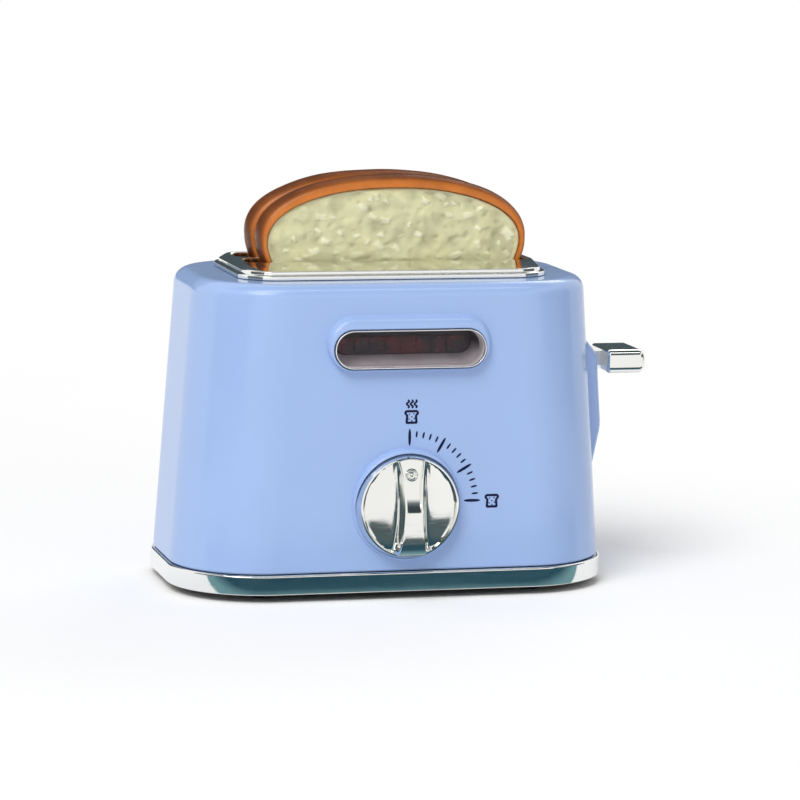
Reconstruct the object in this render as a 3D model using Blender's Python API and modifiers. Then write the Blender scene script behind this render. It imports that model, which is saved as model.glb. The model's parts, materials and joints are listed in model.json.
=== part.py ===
"""Toy toaster: casing, chrome trim, two bread slices, lever carriage, timer knob, lamps and batteries.

Metres, +Z up. X runs to the right seen from the front, Y to the back.
The origin is the centre of the underside of the base; the feet reach a little below it.
"""
import bpy
import bmesh
import math
from mathutils import Matrix, Vector

MM = 0.001

# General clearances
GAP = 0.3 * MM             # between pieces that touch
SLIDE_GAP = 0.4 * MM       # between pieces that slide
OVERRUN = 2.0 * MM         # how far a cut runs past the surface it opens

# Slots and slot frame
SLOT_LENGTH = 106.0 * MM
SLOT_WIDTH = 16.0 * MM
SLOT_PITCH = 20.0 * MM
SLOT_CORNER = 4.0 * MM
SLOT_LIP = 0.8 * MM        # chamfer round each slot
FRAME_ENDS = 5.0 * MM      # from a slot's end to the frame's end
FRAME_SIDES = 15.0 * MM    # from a slot's side to the frame's side
FRAME_CORNER = 14.0 * MM
FLANGE_HEIGHT = 1.5 * MM
COLLAR_INSET = 1.8 * MM
COLLAR_HEIGHT = 1.5 * MM
CROWN_HEIGHT = 2.0 * MM    # rise from the collar's edge to the slots
CROWN_MARGIN = 1.6 * MM    # flat strip round the slots
FRAME_ROUND = 0.4 * MM
FRAME_LENGTH = SLOT_LENGTH + 2 * FRAME_ENDS
FRAME_DEPTH = SLOT_PITCH + SLOT_WIDTH + 2 * FRAME_SIDES

# Casing: it stands out all round the slot frame, and its two ends lean outwards towards the base
SHOULDER_ENDS = 15.4 * MM
SHOULDER_SIDES = 14.0 * MM
END_LEAN = 7.6 * MM        # of each end, over the casing's height
TOP_WIDTH = FRAME_LENGTH + 2 * SHOULDER_ENDS
BASE_WIDTH = TOP_WIDTH + 2 * END_LEAN
BODY_DEPTH = FRAME_DEPTH + 2 * SHOULDER_SIDES
BODY_BOTTOM = 8.0 * MM     # height of its lower edge over the underside
BODY_HEIGHT = 104.5 * MM
CORNER_RADIUS = 33.0 * MM
TOP_EDGE_RADIUS = 5.0 * MM
SHELL_WALL = 2.2 * MM
POST_RADIUS = 3.5 * MM     # screw posts in the four corners
POST_HEIGHT = 22.0 * MM
POST_INSET = 9.0 * MM      # from the casing's corner arc to the post's axis
RIB_THICKNESS = 1.6 * MM

# Base and plinth
BASE_THICKNESS = 2.5 * MM
PLINTH_OVERHANG = 1.0 * MM
PLINTH_HEIGHT = 7.2 * MM
PLINTH_WALL = 2.6 * MM
PLINTH_EDGE = 0.8 * MM     # rounding of its upper outer edge
LEDGE_WIDTH = 2.6 * MM
LEDGE_THICKNESS = 2.0 * MM
FOOT_RADIUS = 6.0 * MM
FOOT_DROP = 2.5 * MM       # how far a foot stands below the underside
FOOT_RECESS = 1.0 * MM
FOOT_INSET_X = 31.0 * MM   # from the casing's lower edge to a foot's axis
FOOT_INSET_Y = 16.0 * MM
FOOT_X = BASE_WIDTH / 2 - FOOT_INSET_X
FOOT_Y = BODY_DEPTH / 2 - FOOT_INSET_Y

# Screws
SCREW_HEAD_RADIUS = 3.0 * MM
SCREW_HEAD_HEIGHT = 0.8 * MM
SCREW_SEAT = 0.9 * MM      # depth of a screw's seat in a plate
SCREW_SHANK_RADIUS = 1.4 * MM
SCREW_LENGTH = 18.0 * MM
CROSS_WIDTH = 0.8 * MM
CROSS_DEPTH = 0.6 * MM

# Bread well
WELL_CLEARANCE = 0.3 * MM  # wider than the slot on each side
WELL_WALL = 1.6 * MM
WELL_FLOOR = 1.3 * MM
SLIT_WIDTH = 5.0 * MM
LUG_REACH = 12.5 * MM
LUG_WIDTH = 32.0 * MM
LUG_THICKNESS = 3.0 * MM
LUG_DROP = 9.0 * MM        # below the top of the casing

# Bread slices
SLICE_PLAY = 1.0 * MM      # between a slice and its slot, at each face
SLICE_END_PLAY = 2.5 * MM
SLICE_HEIGHT = 90.0 * MM
CROWN_RISE = 19.5 * MM     # half height of the crown of the crumb
CROWN_FULLNESS = 2.14      # exponent of its outline: an ellipse has 2
LOBE_DROP = 14.0 * MM      # from the widest place to the waist
WAIST_DEPTH = 3.4 * MM     # how far the sides turn in under the crown
FOOT_CORNER = 9.0 * MM
CRUST_SIDE = 2.8 * MM
CRUST_TOP = 5.0 * MM
CRUST_EDGE = 1.2 * MM
CRUST_SETBACK = 0.5 * MM   # of the crust behind the crumb's faces
CRUMB_EDGE = 0.7 * MM
SLICE_SHIFT = 2.0 * MM     # both slices lie a little to the right in their slots
SLICE_THICKNESS = SLOT_WIDTH - 2 * SLICE_PLAY
CRUMB_WIDTH = SLOT_LENGTH - 2 * (SLICE_END_PLAY + CRUST_SIDE)
WAIST_WIDTH = CRUMB_WIDTH - 2 * WAIST_DEPTH

# Carriage
FIXED_HEIGHT = 70.0 * MM   # of the casing: the battery bay, the racks, the hub and the lug
TRAVEL = BODY_HEIGHT - FIXED_HEIGHT
RACK_WIDTH = 9.0 * MM
RACK_THICKNESS = 2.4 * MM
RACK_NECK = 4.0 * MM
RACK_WEB = 9.0 * MM        # between the holes and at the ends
RACK_HOLE_WIDTH = 4.0 * MM
HUB_LENGTH = 11.4 * MM     # along X
HUB_WIDTH = 32.0 * MM
HUB_HEIGHT = 30.0 * MM
HUB_EDGE = 0.8 * MM
HUB_START = 2.0 * MM       # from the well's end wall
TAB_REACH = 15.5 * MM
TAB_WIDTH = 5.0 * MM
TAB_HEIGHT = 3.0 * MM
TAB_DROP = 7.0 * MM        # below the top of the hub
ROD_RADIUS = 1.5 * MM
ROD_SPACING = 22.0 * MM
ROD_OFFSET = 6.9 * MM      # from the hub's inner face
BOSS_RADIUS = 4.6 * MM
BOSS_TOP = 8.0 * MM
SPRING_WIRE = 0.9 * MM
SPRING_RADIUS = 4.1 * MM   # to the middle of the wire
SPRING_CURLS = 9

# Lever
LEVER_DROP = 6.0 * MM      # from the top of the hub to the arm's middle
ARM_THICKNESS = 3.0 * MM
ARM_HEIGHT = 5.0 * MM
ARM_EMBED = 6.0 * MM
LEVER_GAP = 2.5 * MM       # from the housing to the lever knob
LEVER_LENGTH = 15.0 * MM
LEVER_WIDTH = 24.0 * MM
LEVER_HEIGHT = 9.0 * MM
LEVER_EDGE = 2.6 * MM
LEVER_POCKET = 9.0 * MM

# Lever housing on the right side of the casing
HOUSING_WIDTH = 26.0 * MM
HOUSING_REACH = 6.3 * MM
HOUSING_DROP = 25.5 * MM   # from the casing's top
HOUSING_SHOULDER = 6.0 * MM
HOUSING_KNEE = 54.0 * MM
HOUSING_FOOT = 31.0 * MM
HOUSING_EDGE = 2.4 * MM

# Window
WINDOW_DROP = 23.2 * MM    # from the casing's top to the window's middle
WINDOW_LENGTH = 56.0 * MM
WINDOW_HEIGHT = 13.9 * MM
BOSS_HEIGHT = 3.0 * MM     # of the raised form round the window, over the casing's front
BOSS_SIDES = 2.4 * MM      # from the window's ends to the boss's foot
BOSS_BELOW = 1.4 * MM
BOSS_ABOVE = 5.0 * MM
BOSS_RIM = 0.9 * MM        # width of its face at the window's ends and underneath
BOSS_HOOD = 2.5 * MM       # and above the window
BEZEL_PROUD = 0.7 * MM
BEZEL_RIM = 1.1 * MM
BEZEL_STEP = 0.9 * MM
BEZEL_FLANGE = 1.8 * MM
BEZEL_FLANGE_THICKNESS = 1.2 * MM
LENS_DEPTH = 1.2 * MM      # from the bezel's front to the lens
LENS_THICKNESS = 1.0 * MM
TRAY_DEPTH = 8.0 * MM
TRAY_WALL = 1.2 * MM
TRAY_DRAFT = 1.6 * MM
PANEL_THICKNESS = 0.8 * MM
PANEL_RIB_WIDTH = 1.4 * MM
PANEL_RIB_HEIGHT = 1.0 * MM
PANEL_RIBS = 7
LAMP_RADIUS = 1.5 * MM
LAMP_LENGTH = 3.6 * MM
LAMP_COLLAR = 0.5 * MM
LAMP_SPACING = 24.0 * MM
BOARD_LENGTH = 46.0 * MM
BOARD_HEIGHT = 16.0 * MM
BOARD_THICKNESS = 1.4 * MM

# Knob
KNOB_HEIGHT_OVER_BASE = 31.9 * MM
KNOB_RADIUS = 19.2 * MM
KNOB_TAPER = 0.9 * MM
COLLAR_MARGIN = 1.8 * MM
COLLAR_PROUD = 1.2 * MM
KNOB_FACE_RADIUS = KNOB_RADIUS - KNOB_TAPER
COLLAR_RADIUS = KNOB_RADIUS + COLLAR_MARGIN
KNOB_RIM_DEPTH = 3.7 * MM
KNOB_DISH = 0.6 * MM
KNOB_RIM_WIDTH = 0.8 * MM
GRIP_HEIGHT = 5.8 * MM     # over the rim, at the middle
GRIP_FULLNESS = 10         # exponent of its arch: it stays high and falls steeply at both ends
GRIP_END_HALF = 5.4 * MM
GRIP_WAIST_HALF = 3.4 * MM
GRIP_FOOT = 1.6 * MM       # how much wider the grip is at its foot
DIMPLE_RADIUS = 2.2 * MM
DIMPLE_DEPTH = 0.5 * MM
DIMPLE_RISE = 12.0 * MM    # of the dimple over the knob's axis
KNOB_SOCKET = 5.5 * MM
SHAFT_RADIUS = 3.0 * MM
BUSH_RADIUS = 5.5 * MM
BUSH_LENGTH = 5.0 * MM

# Mechanism behind the knob, by distance from the front wall's inner face
WHEEL_SETBACK = 6.8 * MM
WHEEL_THICKNESS = 3.0 * MM
WHEEL_RADIUS = 10.0 * MM
WHEEL_TOOTH = 1.0 * MM
WHEEL_TEETH = 30
CAM_SETBACK = 13.3 * MM
CAM_THICKNESS = 3.0 * MM
CAM_RADIUS = 12.5 * MM
CAM_FALL = 4.4 * MM
PLATE_SETBACK = 18.3 * MM
PLATE_THICKNESS = 2.0 * MM
PLATE_LEFT = 18.0 * MM     # from the knob's axis
PLATE_MARGIN = 6.0 * MM    # past the latch pin
PLATE_TOP = 15.2 * MM      # over the knob's axis
PLATE_FOOT = 6.0 * MM
CLIP_RADIUS = 4.6 * MM
CLIP_THICKNESS = 0.8 * MM
CLICK_THICKNESS = 0.4 * MM
CLICK_LENGTH = 17.0 * MM
CLICK_POST = 4.0 * MM

# Latch
LATCH_SWING = math.radians(5.0)
LATCH_STEP = 10.9 * MM     # from the pin to the hub
LATCH_BAR = 5.0 * MM
LATCH_TAIL_END = 4.0 * MM  # past the knob's axis
LATCH_PAD = 3.0 * MM
LATCH_PAD_RISE = 1.4 * MM
LATCH_ARM = 4.0 * MM
LATCH_REACH = 0.4 * MM     # between the nose and the tab while it is open
LATCH_NOSE = 3.7 * MM
CAM_GAP = 0.5 * MM
PIN_RADIUS = 1.5 * MM
PIN_HEAD_RADIUS = 3.0 * MM
PIN_HEAD_HEIGHT = 1.0 * MM
LATCH_SPRING_WIRE = 0.6 * MM
LATCH_SPRING_RADIUS = 2.6 * MM
LATCH_SPRING_CURLS = 3
LATCH_SPRING_PITCH = 1.05 * MM
LATCH_SPRING_LEG = 12.0 * MM

# Batteries (AA) and their bay
CELL_RADIUS = 7.1 * MM
CELL_LENGTH = 49.5 * MM
CELL_NUB_RADIUS = 2.7 * MM
CELL_NUB = 1.0 * MM
CELL_SPACE = 1.0 * MM      # between the two cells
CELL_EDGE = 0.6 * MM
CELL_OVER_DOOR = 3.0 * MM
BAY_SPARE = 6.7 * MM       # for the contacts and springs
BAY_SIDE = 0.6 * MM
CELL_SPACING = 2 * CELL_RADIUS + CELL_SPACE
BAY_LENGTH = CELL_LENGTH + CELL_NUB + BAY_SPARE
BAY_WIDTH = CELL_SPACING + 2 * (CELL_RADIUS + BAY_SIDE)
BAY_WALL = 1.4 * MM
BAY_CEILING = 1.2 * MM
DOOR_THICKNESS = 1.4 * MM
DOOR_LAP = 2.0 * MM
DOOR_TONGUE = 8.0 * MM     # past the bay, where its screw goes
DOOR_EDGE = 0.5 * MM
DOOR_RIB = 1.2 * MM
CONTACT_THICKNESS = 0.4 * MM
CONTACT_WIDTH = 11.0 * MM
CONTACT_HEIGHT = 12.0 * MM
CELL_SPRING_WIRE = 0.7 * MM
CELL_SPRING_RADIUS = 3.2 * MM
CELL_SPRING_CURLS = 3

# Switch contacts under the hub
TOWER_WIDTH = 6.0 * MM
TOWER_SIDE_GAP = 0.3 * MM
STRIP_THICKNESS = 0.5 * MM
STRIP_WIDTH = 4.0 * MM
STRIP_TAB = 2.0 * MM
BRIDGE_THICKNESS = 0.5 * MM

# Wires
WIRE_RADIUS = 0.6 * MM
WIRE_LIFT = 1.6 * MM       # of a wire's underside over the base plate

# Counts
CORNER_STEPS = 8
PILL_STEPS = 10
ROUND_STEPS = 24
SMALL_STEPS = 20
RECESS_STEPS = 16
COIL_POINTS = 8
QUARTERS = 4

# Heights and places that follow from the sizes above
BODY_TOP = BODY_BOTTOM + BODY_HEIGHT
PLINTH_TOP = BODY_BOTTOM - GAP
PLINTH_BOTTOM = PLINTH_TOP - PLINTH_HEIGHT
FRONT_FACE = -BODY_DEPTH / 2
FRONT_INSIDE = FRONT_FACE + SHELL_WALL
SLOT_Y = SLOT_PITCH / 2
CELL_Z = DOOR_THICKNESS + CELL_OVER_DOOR + CELL_RADIUS
BAY_INSIDE_TOP = CELL_Z + CELL_RADIUS + GAP
BAY_TOP = BAY_INSIDE_TOP + BAY_CEILING
WELL_BOTTOM = BAY_TOP + GAP
WELL_FLOOR_TOP = WELL_BOTTOM + WELL_FLOOR
RACK_BOTTOM = WELL_FLOOR_TOP + SLIDE_GAP + TRAVEL
RACK_TOP = RACK_BOTTOM + RACK_THICKNESS
SLICE_BOTTOM = RACK_TOP + GAP
WELL_INNER_X = SLOT_LENGTH / 2 + WELL_CLEARANCE
WELL_OUTER_X = WELL_INNER_X + WELL_WALL
WELL_INNER_Y = SLOT_Y + SLOT_WIDTH / 2 + WELL_CLEARANCE
WELL_OUTER_Y = WELL_INNER_Y + WELL_WALL
WELL_TOP = BODY_TOP
HUB_X0 = WELL_OUTER_X + HUB_START
HUB_X1 = HUB_X0 + HUB_LENGTH
HUB_Z0 = RACK_BOTTOM - GAP - RACK_THICKNESS
HUB_Z1 = HUB_Z0 + HUB_HEIGHT
ROD_X = HUB_X0 + ROD_OFFSET
ROD_Y = ROD_SPACING / 2
ROD_SEAT = BASE_THICKNESS + GAP
LUG_TOP = BODY_TOP - LUG_DROP
LUG_BOTTOM = LUG_TOP - LUG_THICKNESS
LEVER_Z = HUB_Z1 - LEVER_DROP
HOUSING_TOP = BODY_TOP - HOUSING_DROP
WINDOW_Z = BODY_TOP - WINDOW_DROP
KNOB_Z = KNOB_HEIGHT_OVER_BASE
KNOB_BASE_Y = FRONT_FACE - COLLAR_PROUD - GAP
KNOB_RIM_Y = KNOB_BASE_Y - KNOB_RIM_DEPTH
PLATE_Y = FRONT_INSIDE + PLATE_SETBACK
CAM_Y = FRONT_INSIDE + CAM_SETBACK
LATCH_PIVOT_X = HUB_X0 - LATCH_STEP
LATCH_PIVOT_Z = KNOB_Z - CAM_RADIUS - CAM_GAP - LATCH_PAD_RISE - LATCH_BAR / 2
PLATE_RIGHT = LATCH_PIVOT_X + PLATE_MARGIN
WHEEL_Y = FRONT_INSIDE + WHEEL_SETBACK
BOSS_FACE_Y = FRONT_FACE - BOSS_HEIGHT
BEZEL_FRONT_Y = BOSS_FACE_Y - BEZEL_PROUD
LENS_Y = BEZEL_FRONT_Y + LENS_DEPTH
BEZEL_BACK_Y = FRONT_INSIDE + GAP + BEZEL_FLANGE_THICKNESS
TRAY_Y = BEZEL_BACK_Y + GAP
TRAY_BACK_Y = TRAY_Y + TRAY_DEPTH
LAMP_Y = TRAY_BACK_Y - TRAY_WALL + GAP
BOARD_Y = LAMP_Y + LAMP_LENGTH + GAP
FRAME_BOTTOM = BODY_TOP + GAP


def clear_scene():
    for old in list(bpy.data.objects):
        bpy.data.objects.remove(old, do_unlink=True)


def new_collection(name):
    group = bpy.data.collections.new(name)
    bpy.context.scene.collection.children.link(group)
    return group


clear_scene()
PARTS = new_collection("toy_toaster")
CUTTERS = new_collection("cutters")


# Materials

def linear(value):
    share = value / 255
    return share / 12.92 if share <= 0.04045 else ((share + 0.055) / 1.055) ** 2.4


def material(name, red, green, blue, roughness, metallic=0.0, alpha=1.0):
    made = bpy.data.materials.new(name)
    made.use_nodes = True
    shader = made.node_tree.nodes["Principled BSDF"]
    colour = (linear(red), linear(green), linear(blue), 1.0)
    shader.inputs["Base Color"].default_value = colour
    shader.inputs["Roughness"].default_value = roughness
    shader.inputs["Metallic"].default_value = metallic
    shader.inputs["Alpha"].default_value = alpha
    made.diffuse_color = colour
    return made


BLUE = material("blue_plastic", 168, 190, 232, 0.18)
CHROME = material("chrome", 225, 226, 228, 0.06, metallic=1.0)
DARK = material("dark_plastic", 46, 48, 54, 0.45)
PALE = material("pale_plastic", 214, 216, 220, 0.4)
RUBBER = material("rubber", 38, 38, 40, 0.8)
CRUST = material("crust", 205, 115, 40, 0.35)
CRUMB = material("crumb", 206, 206, 160, 0.55)
SMOKE = material("smoked_lens", 40, 34, 40, 0.08, alpha=0.45)
SILVER = material("silver_plastic", 168, 168, 172, 0.3, metallic=0.6)
RED = material("red_plastic", 190, 28, 36, 0.3)
LAMP = material("lamp", 235, 90, 80, 0.15)
BOARD = material("board", 38, 92, 62, 0.5)
STEEL = material("steel", 172, 174, 178, 0.25, metallic=1.0)
BRASS = material("brass", 196, 168, 98, 0.3, metallic=1.0)
CELL = material("cell", 60, 66, 74, 0.35)
WIRE_RED = material("wire_red", 180, 34, 34, 0.45)
WIRE_BLACK = material("wire_black", 28, 28, 30, 0.45)
WIRE_WHITE = material("wire_white", 226, 226, 222, 0.45)


# Modelling helpers

def smooth(mesh, degrees=35.0):
    mesh.shade_smooth()
    mesh.set_sharp_from_angle(angle=math.radians(degrees))


def add_object(name, mesh, finish):
    made = bpy.data.objects.new(name, mesh)
    if finish is None:
        CUTTERS.objects.link(made)
        made.hide_render = True
        made.display_type = "WIRE"
    else:
        PARTS.objects.link(made)
        mesh.materials.append(finish)
    return made


def from_bmesh(name, bm, finish):
    bmesh.ops.recalc_face_normals(bm, faces=bm.faces)
    mesh = bpy.data.meshes.new(name)
    bm.to_mesh(mesh)
    bm.free()
    smooth(mesh)
    return add_object(name, mesh, finish)


def box(name, low, high, finish=None, edge=0.0):
    """A box between two corners, with its edges rounded by edge."""
    bm = bmesh.new()
    bmesh.ops.create_cube(bm, size=1.0)
    for vert in bm.verts:
        for i in range(3):
            vert.co[i] = high[i] if vert.co[i] > 0 else low[i]
    made = from_bmesh(name, bm, finish)
    if edge > 0:
        bevel(made, edge)
    return made


def bevel(target, width, segments=2, degrees=40.0):
    rounding = target.modifiers.new("rounding", "BEVEL")
    rounding.width = width
    rounding.segments = segments
    rounding.limit_method = "ANGLE"
    rounding.angle_limit = math.radians(degrees)


def combine(target, tool, operation):
    step = target.modifiers.new(operation.lower(), "BOOLEAN")
    step.operation = operation
    step.object = tool


def cut(target, tool):
    combine(target, tool, "DIFFERENCE")


def join(target, tool):
    combine(target, tool, "UNION")


AXIS_TURN = {
    "X": Matrix(((0, 0, 1), (1, 0, 0), (0, 1, 0))),
    "Y": Matrix(((1, 0, 0), (0, 0, -1), (0, 1, 0))),
    "Z": Matrix.Identity(3),
}


def place(axis, a, b, depth):
    """A point of a flat outline: X,Y at height Z, X,Z at depth Y, or Y,Z at place X."""
    if axis == "Z":
        return Vector((a, b, depth))
    if axis == "Y":
        return Vector((a, depth, b))
    return Vector((depth, a, b))


def plate(name, outlines, axis, start, end, finish=None):
    """A flat outline, with holes as further outlines, filled and given a thickness along an axis."""
    curve = bpy.data.curves.new(name, "CURVE")
    curve.dimensions = "2D"
    curve.fill_mode = "BOTH"
    curve.extrude = (end - start) / 2
    for outline in outlines:
        spline = curve.splines.new("POLY")
        spline.points.add(len(outline) - 1)
        for point, (a, b) in zip(spline.points, outline):
            point.co = (a, b, 0.0, 1.0)
        spline.use_cyclic_u = True
    guide = bpy.data.objects.new(name + "_outline", curve)
    CUTTERS.objects.link(guide)
    depsgraph = bpy.context.evaluated_depsgraph_get()
    mesh = bpy.data.meshes.new_from_object(guide.evaluated_get(depsgraph))
    bpy.data.objects.remove(guide, do_unlink=True)
    turn = AXIS_TURN[axis].to_4x4()
    shift = Matrix.Translation(place(axis, 0.0, 0.0, (start + end) / 2))
    bm = bmesh.new()
    bm.from_mesh(mesh)
    bpy.data.meshes.remove(mesh)
    bmesh.ops.remove_doubles(bm, verts=bm.verts, dist=GAP / 100)
    bm.transform(shift @ turn)
    return from_bmesh(name, bm, finish)


def loft(name, rings, finish=None, closed=False):
    """A skin over rings of equally many points, capped at both ends or closed on itself."""
    bm = bmesh.new()
    rows = [[bm.verts.new(point) for point in ring] for ring in rings]
    pairs = list(zip(rows, rows[1:]))
    if closed:
        pairs.append((rows[-1], rows[0]))
    for lower, upper in pairs:
        count = len(lower)
        for i in range(count):
            j = (i + 1) % count
            bm.faces.new((lower[i], lower[j], upper[j], upper[i]))
    if not closed:
        bm.faces.new(list(reversed(rows[0])))
        bm.faces.new(rows[-1])
    return from_bmesh(name, bm, finish)


TURNED_AIM = {
    "+Z": (0.0, 0.0, 0.0),
    "-Z": (math.pi, 0.0, 0.0),
    "-Y": (math.pi / 2, 0.0, 0.0),
    "+Y": (-math.pi / 2, 0.0, 0.0),
    "+X": (0.0, math.pi / 2, 0.0),
    "-X": (0.0, -math.pi / 2, 0.0),
}


def turned(name, profile, centre, aim, finish=None, steps=ROUND_STEPS):
    """A profile of (radius, height), outer side from top to bottom, turned about the aim through centre."""
    mesh = bpy.data.meshes.new(name)
    points = [(radius, 0.0, height) for radius, height in profile]
    edges = [(i, i + 1) for i in range(len(points) - 1)]
    if profile[0][0] > 0:
        edges.append((len(points) - 1, 0))
    mesh.from_pydata(points, edges, [])
    made = add_object(name, mesh, finish)
    made.location = centre
    made.rotation_euler = TURNED_AIM[aim]
    screw = made.modifiers.new("turn", "SCREW")
    screw.steps = steps
    screw.render_steps = steps
    screw.use_merge_vertices = True
    screw.merge_threshold = GAP / 100
    screw.use_smooth_shade = False
    return made


def cylinder(name, radius, centre, aim, length, finish=None, steps=ROUND_STEPS):
    """A cylinder from centre along the aim."""
    bm = bmesh.new()
    bmesh.ops.create_cone(bm, cap_ends=True, segments=steps, radius1=radius, radius2=radius, depth=length)
    bmesh.ops.translate(bm, verts=bm.verts, vec=(0.0, 0.0, length / 2))
    made = from_bmesh(name, bm, finish)
    made.location = centre
    made.rotation_euler = TURNED_AIM[aim]
    return made


def rounded_rect(half_a, half_b, radius, steps=CORNER_STEPS, centre=(0.0, 0.0)):
    """Points round a rectangle with arcs at its corners, anticlockwise."""
    points = []
    for corner, (side_a, side_b) in enumerate(((1, 1), (-1, 1), (-1, -1), (1, -1))):
        middle_a = centre[0] + side_a * (half_a - radius)
        middle_b = centre[1] + side_b * (half_b - radius)
        for i in range(steps + 1):
            angle = math.pi / 2 * (corner + i / steps)
            points.append((middle_a + radius * math.cos(angle), middle_b + radius * math.sin(angle)))
    return points


def pill(half_length, half_height, centre):
    """A rectangle with half round ends."""
    points = []
    for side, middle in ((1, half_length - half_height), (-1, half_height - half_length)):
        for i in range(PILL_STEPS + 1):
            angle = math.pi * (i / PILL_STEPS - 0.5) + (0 if side > 0 else math.pi)
            a = centre[0] + middle + half_height * math.cos(angle)
            points.append((a, centre[1] + half_height * math.sin(angle)))
    return points


def circle(radius, centre=(0.0, 0.0), steps=ROUND_STEPS):
    points = []
    for i in range(steps):
        angle = 2 * math.pi * i / steps
        points.append((centre[0] + radius * math.cos(angle), centre[1] + radius * math.sin(angle)))
    return points


def tube(name, points, radius, finish, resolution=2):
    """A round wire along points, made a mesh with closed ends."""
    curve = bpy.data.curves.new(name, "CURVE")
    curve.dimensions = "3D"
    curve.bevel_depth = radius
    curve.bevel_resolution = resolution
    curve.use_fill_caps = True
    spline = curve.splines.new("POLY")
    spline.points.add(len(points) - 1)
    for item, point in zip(spline.points, points):
        item.co = (*point, 1.0)
    guide = bpy.data.objects.new(name + "_path", curve)
    CUTTERS.objects.link(guide)
    depsgraph = bpy.context.evaluated_depsgraph_get()
    mesh = bpy.data.meshes.new_from_object(guide.evaluated_get(depsgraph))
    bpy.data.objects.remove(guide, do_unlink=True)
    bm = bmesh.new()
    bm.from_mesh(mesh)
    bpy.data.meshes.remove(mesh)
    bmesh.ops.remove_doubles(bm, verts=bm.verts, dist=GAP / 100)
    return from_bmesh(name, bm, finish)


def helix(start, aim, radius, length, curls, first_angle=0.0):
    """Points of a helix from start along the aim."""
    turn = Matrix.Identity(3) if aim == "+Z" else AXIS_TURN[aim[1]]
    sign = -1 if aim == "-X" else 1
    count = int(curls * COIL_POINTS)
    points = []
    for i in range(count + 1):
        angle = first_angle + 2 * math.pi * i / COIL_POINTS
        local = Vector((radius * math.cos(angle), radius * math.sin(angle), sign * length * i / count))
        points.append(Vector(start) + turn @ local)
    return points


def report_coil_gap(name, points, wire):
    """Prints the least gap between a coil's turns, measured on its points."""
    least = min((points[i] - points[j]).length
                for i in range(len(points))
                for j in range(i + COIL_POINTS // 2 + 1, len(points)))
    print(name, "least gap to itself", round((least - wire) / MM, 2), "mm")


def pivot(name, centre):
    """An empty on a joint's axis, which carries the pieces that move about it."""
    empty = bpy.data.objects.new(name, None)
    PARTS.objects.link(empty)
    empty.location = centre
    return empty


def carry(empty, pieces):
    for piece in pieces:
        piece.parent = empty
        piece.matrix_parent_inverse = Matrix.Translation(empty.location).inverted()


# Casing

def half_width_at(height):
    """Half the casing's width at a height over the underside: its sides lean inwards."""
    rise = (height - BODY_BOTTOM) / BODY_HEIGHT
    return (BASE_WIDTH + (TOP_WIDTH - BASE_WIDTH) * rise) / 2


def body_ring(height, inset, z=None):
    """The casing's outline at a height, drawn in by inset."""
    outline = rounded_rect(half_width_at(height) - inset, BODY_DEPTH / 2 - inset, CORNER_RADIUS - inset)
    return [Vector((x, y, height if z is None else z)) for x, y in outline]


def body_solid(name, inset, bottom, finish=None):
    """The casing's outer form, or its cavity when it is drawn in by a wall."""
    edge_steps = 5
    edge = max(TOP_EDGE_RADIUS - inset, TOP_EDGE_RADIUS / 4)
    top = BODY_TOP - inset
    rings = [body_ring(BODY_BOTTOM, inset, bottom), body_ring(top - edge, inset)]
    for i in range(1, edge_steps + 1):
        angle = math.pi / 2 * i / edge_steps
        height = top - edge + edge * math.sin(angle)
        rings.append(body_ring(height, inset + edge * (1 - math.cos(angle))))
    return loft(name, rings, finish)


def housing_solid(name, inset, finish=None):
    """The raised form on the right side that the lever runs in, or its hollow."""
    reach = HOUSING_REACH - inset
    deep = SHELL_WALL + inset + OVERRUN
    low, knee = HOUSING_FOOT + inset, HOUSING_KNEE
    shoulder, top = HOUSING_TOP - HOUSING_SHOULDER, HOUSING_TOP - inset
    outline = [
        (half_width_at(low) - deep, low),
        (half_width_at(low), low),
        (half_width_at(knee) + reach, knee),
        (half_width_at(shoulder) + reach, shoulder),
        (half_width_at(top) + reach / 3, top),
        (half_width_at(top) - deep, top),
    ]
    half = HOUSING_WIDTH / 2 - inset
    made = plate(name, [outline], "Y", -half, half, finish)
    bevel(made, HOUSING_EDGE if inset == 0 else HOUSING_EDGE / 2, segments=3, degrees=20.0)
    return made


def post_places():
    """Axes of the four screw posts: inside the corner arcs at the casing's lower edge."""
    reach = (CORNER_RADIUS - POST_INSET) / math.sqrt(2)
    x = BASE_WIDTH / 2 - CORNER_RADIUS + reach
    y = BODY_DEPTH / 2 - CORNER_RADIUS + reach
    return [(x, y), (-x, y), (-x, -y), (x, -y)]


POST_BOTTOM = BASE_THICKNESS + GAP
POST_TOP = POST_BOTTOM + POST_HEIGHT


def add_posts(shell):
    """Screw posts in the corners, each tied to the wall by a rib that starts above the plinth's ledge."""
    rib_bottom = BODY_BOTTOM + GAP
    bore = SCREW_SHANK_RADIUS + GAP
    for number, (x, y) in enumerate(post_places()):
        name = "post_" + str(number + 1)
        join(shell, turned(name, [
            (0.0, POST_HEIGHT),
            (POST_RADIUS, POST_HEIGHT),
            (POST_RADIUS, 0.0),
            (bore, 0.0),
            (bore, SCREW_LENGTH),
            (0.0, SCREW_LENGTH),
        ], (x, y, POST_BOTTOM), "+Z", steps=SMALL_STEPS))
        half = RIB_THICKNESS / 2
        start, wall = (bore + POST_RADIUS) / 2, POST_INSET - SHELL_WALL / 2
        rib = box(name + "_rib", (start, -half, rib_bottom), (wall, half, POST_TOP - OVERRUN))
        rib.location = (x, y, 0.0)
        rib.rotation_euler = (0.0, 0.0, math.atan2(math.copysign(1, y), math.copysign(1, x)))
        join(shell, rib)


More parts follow.
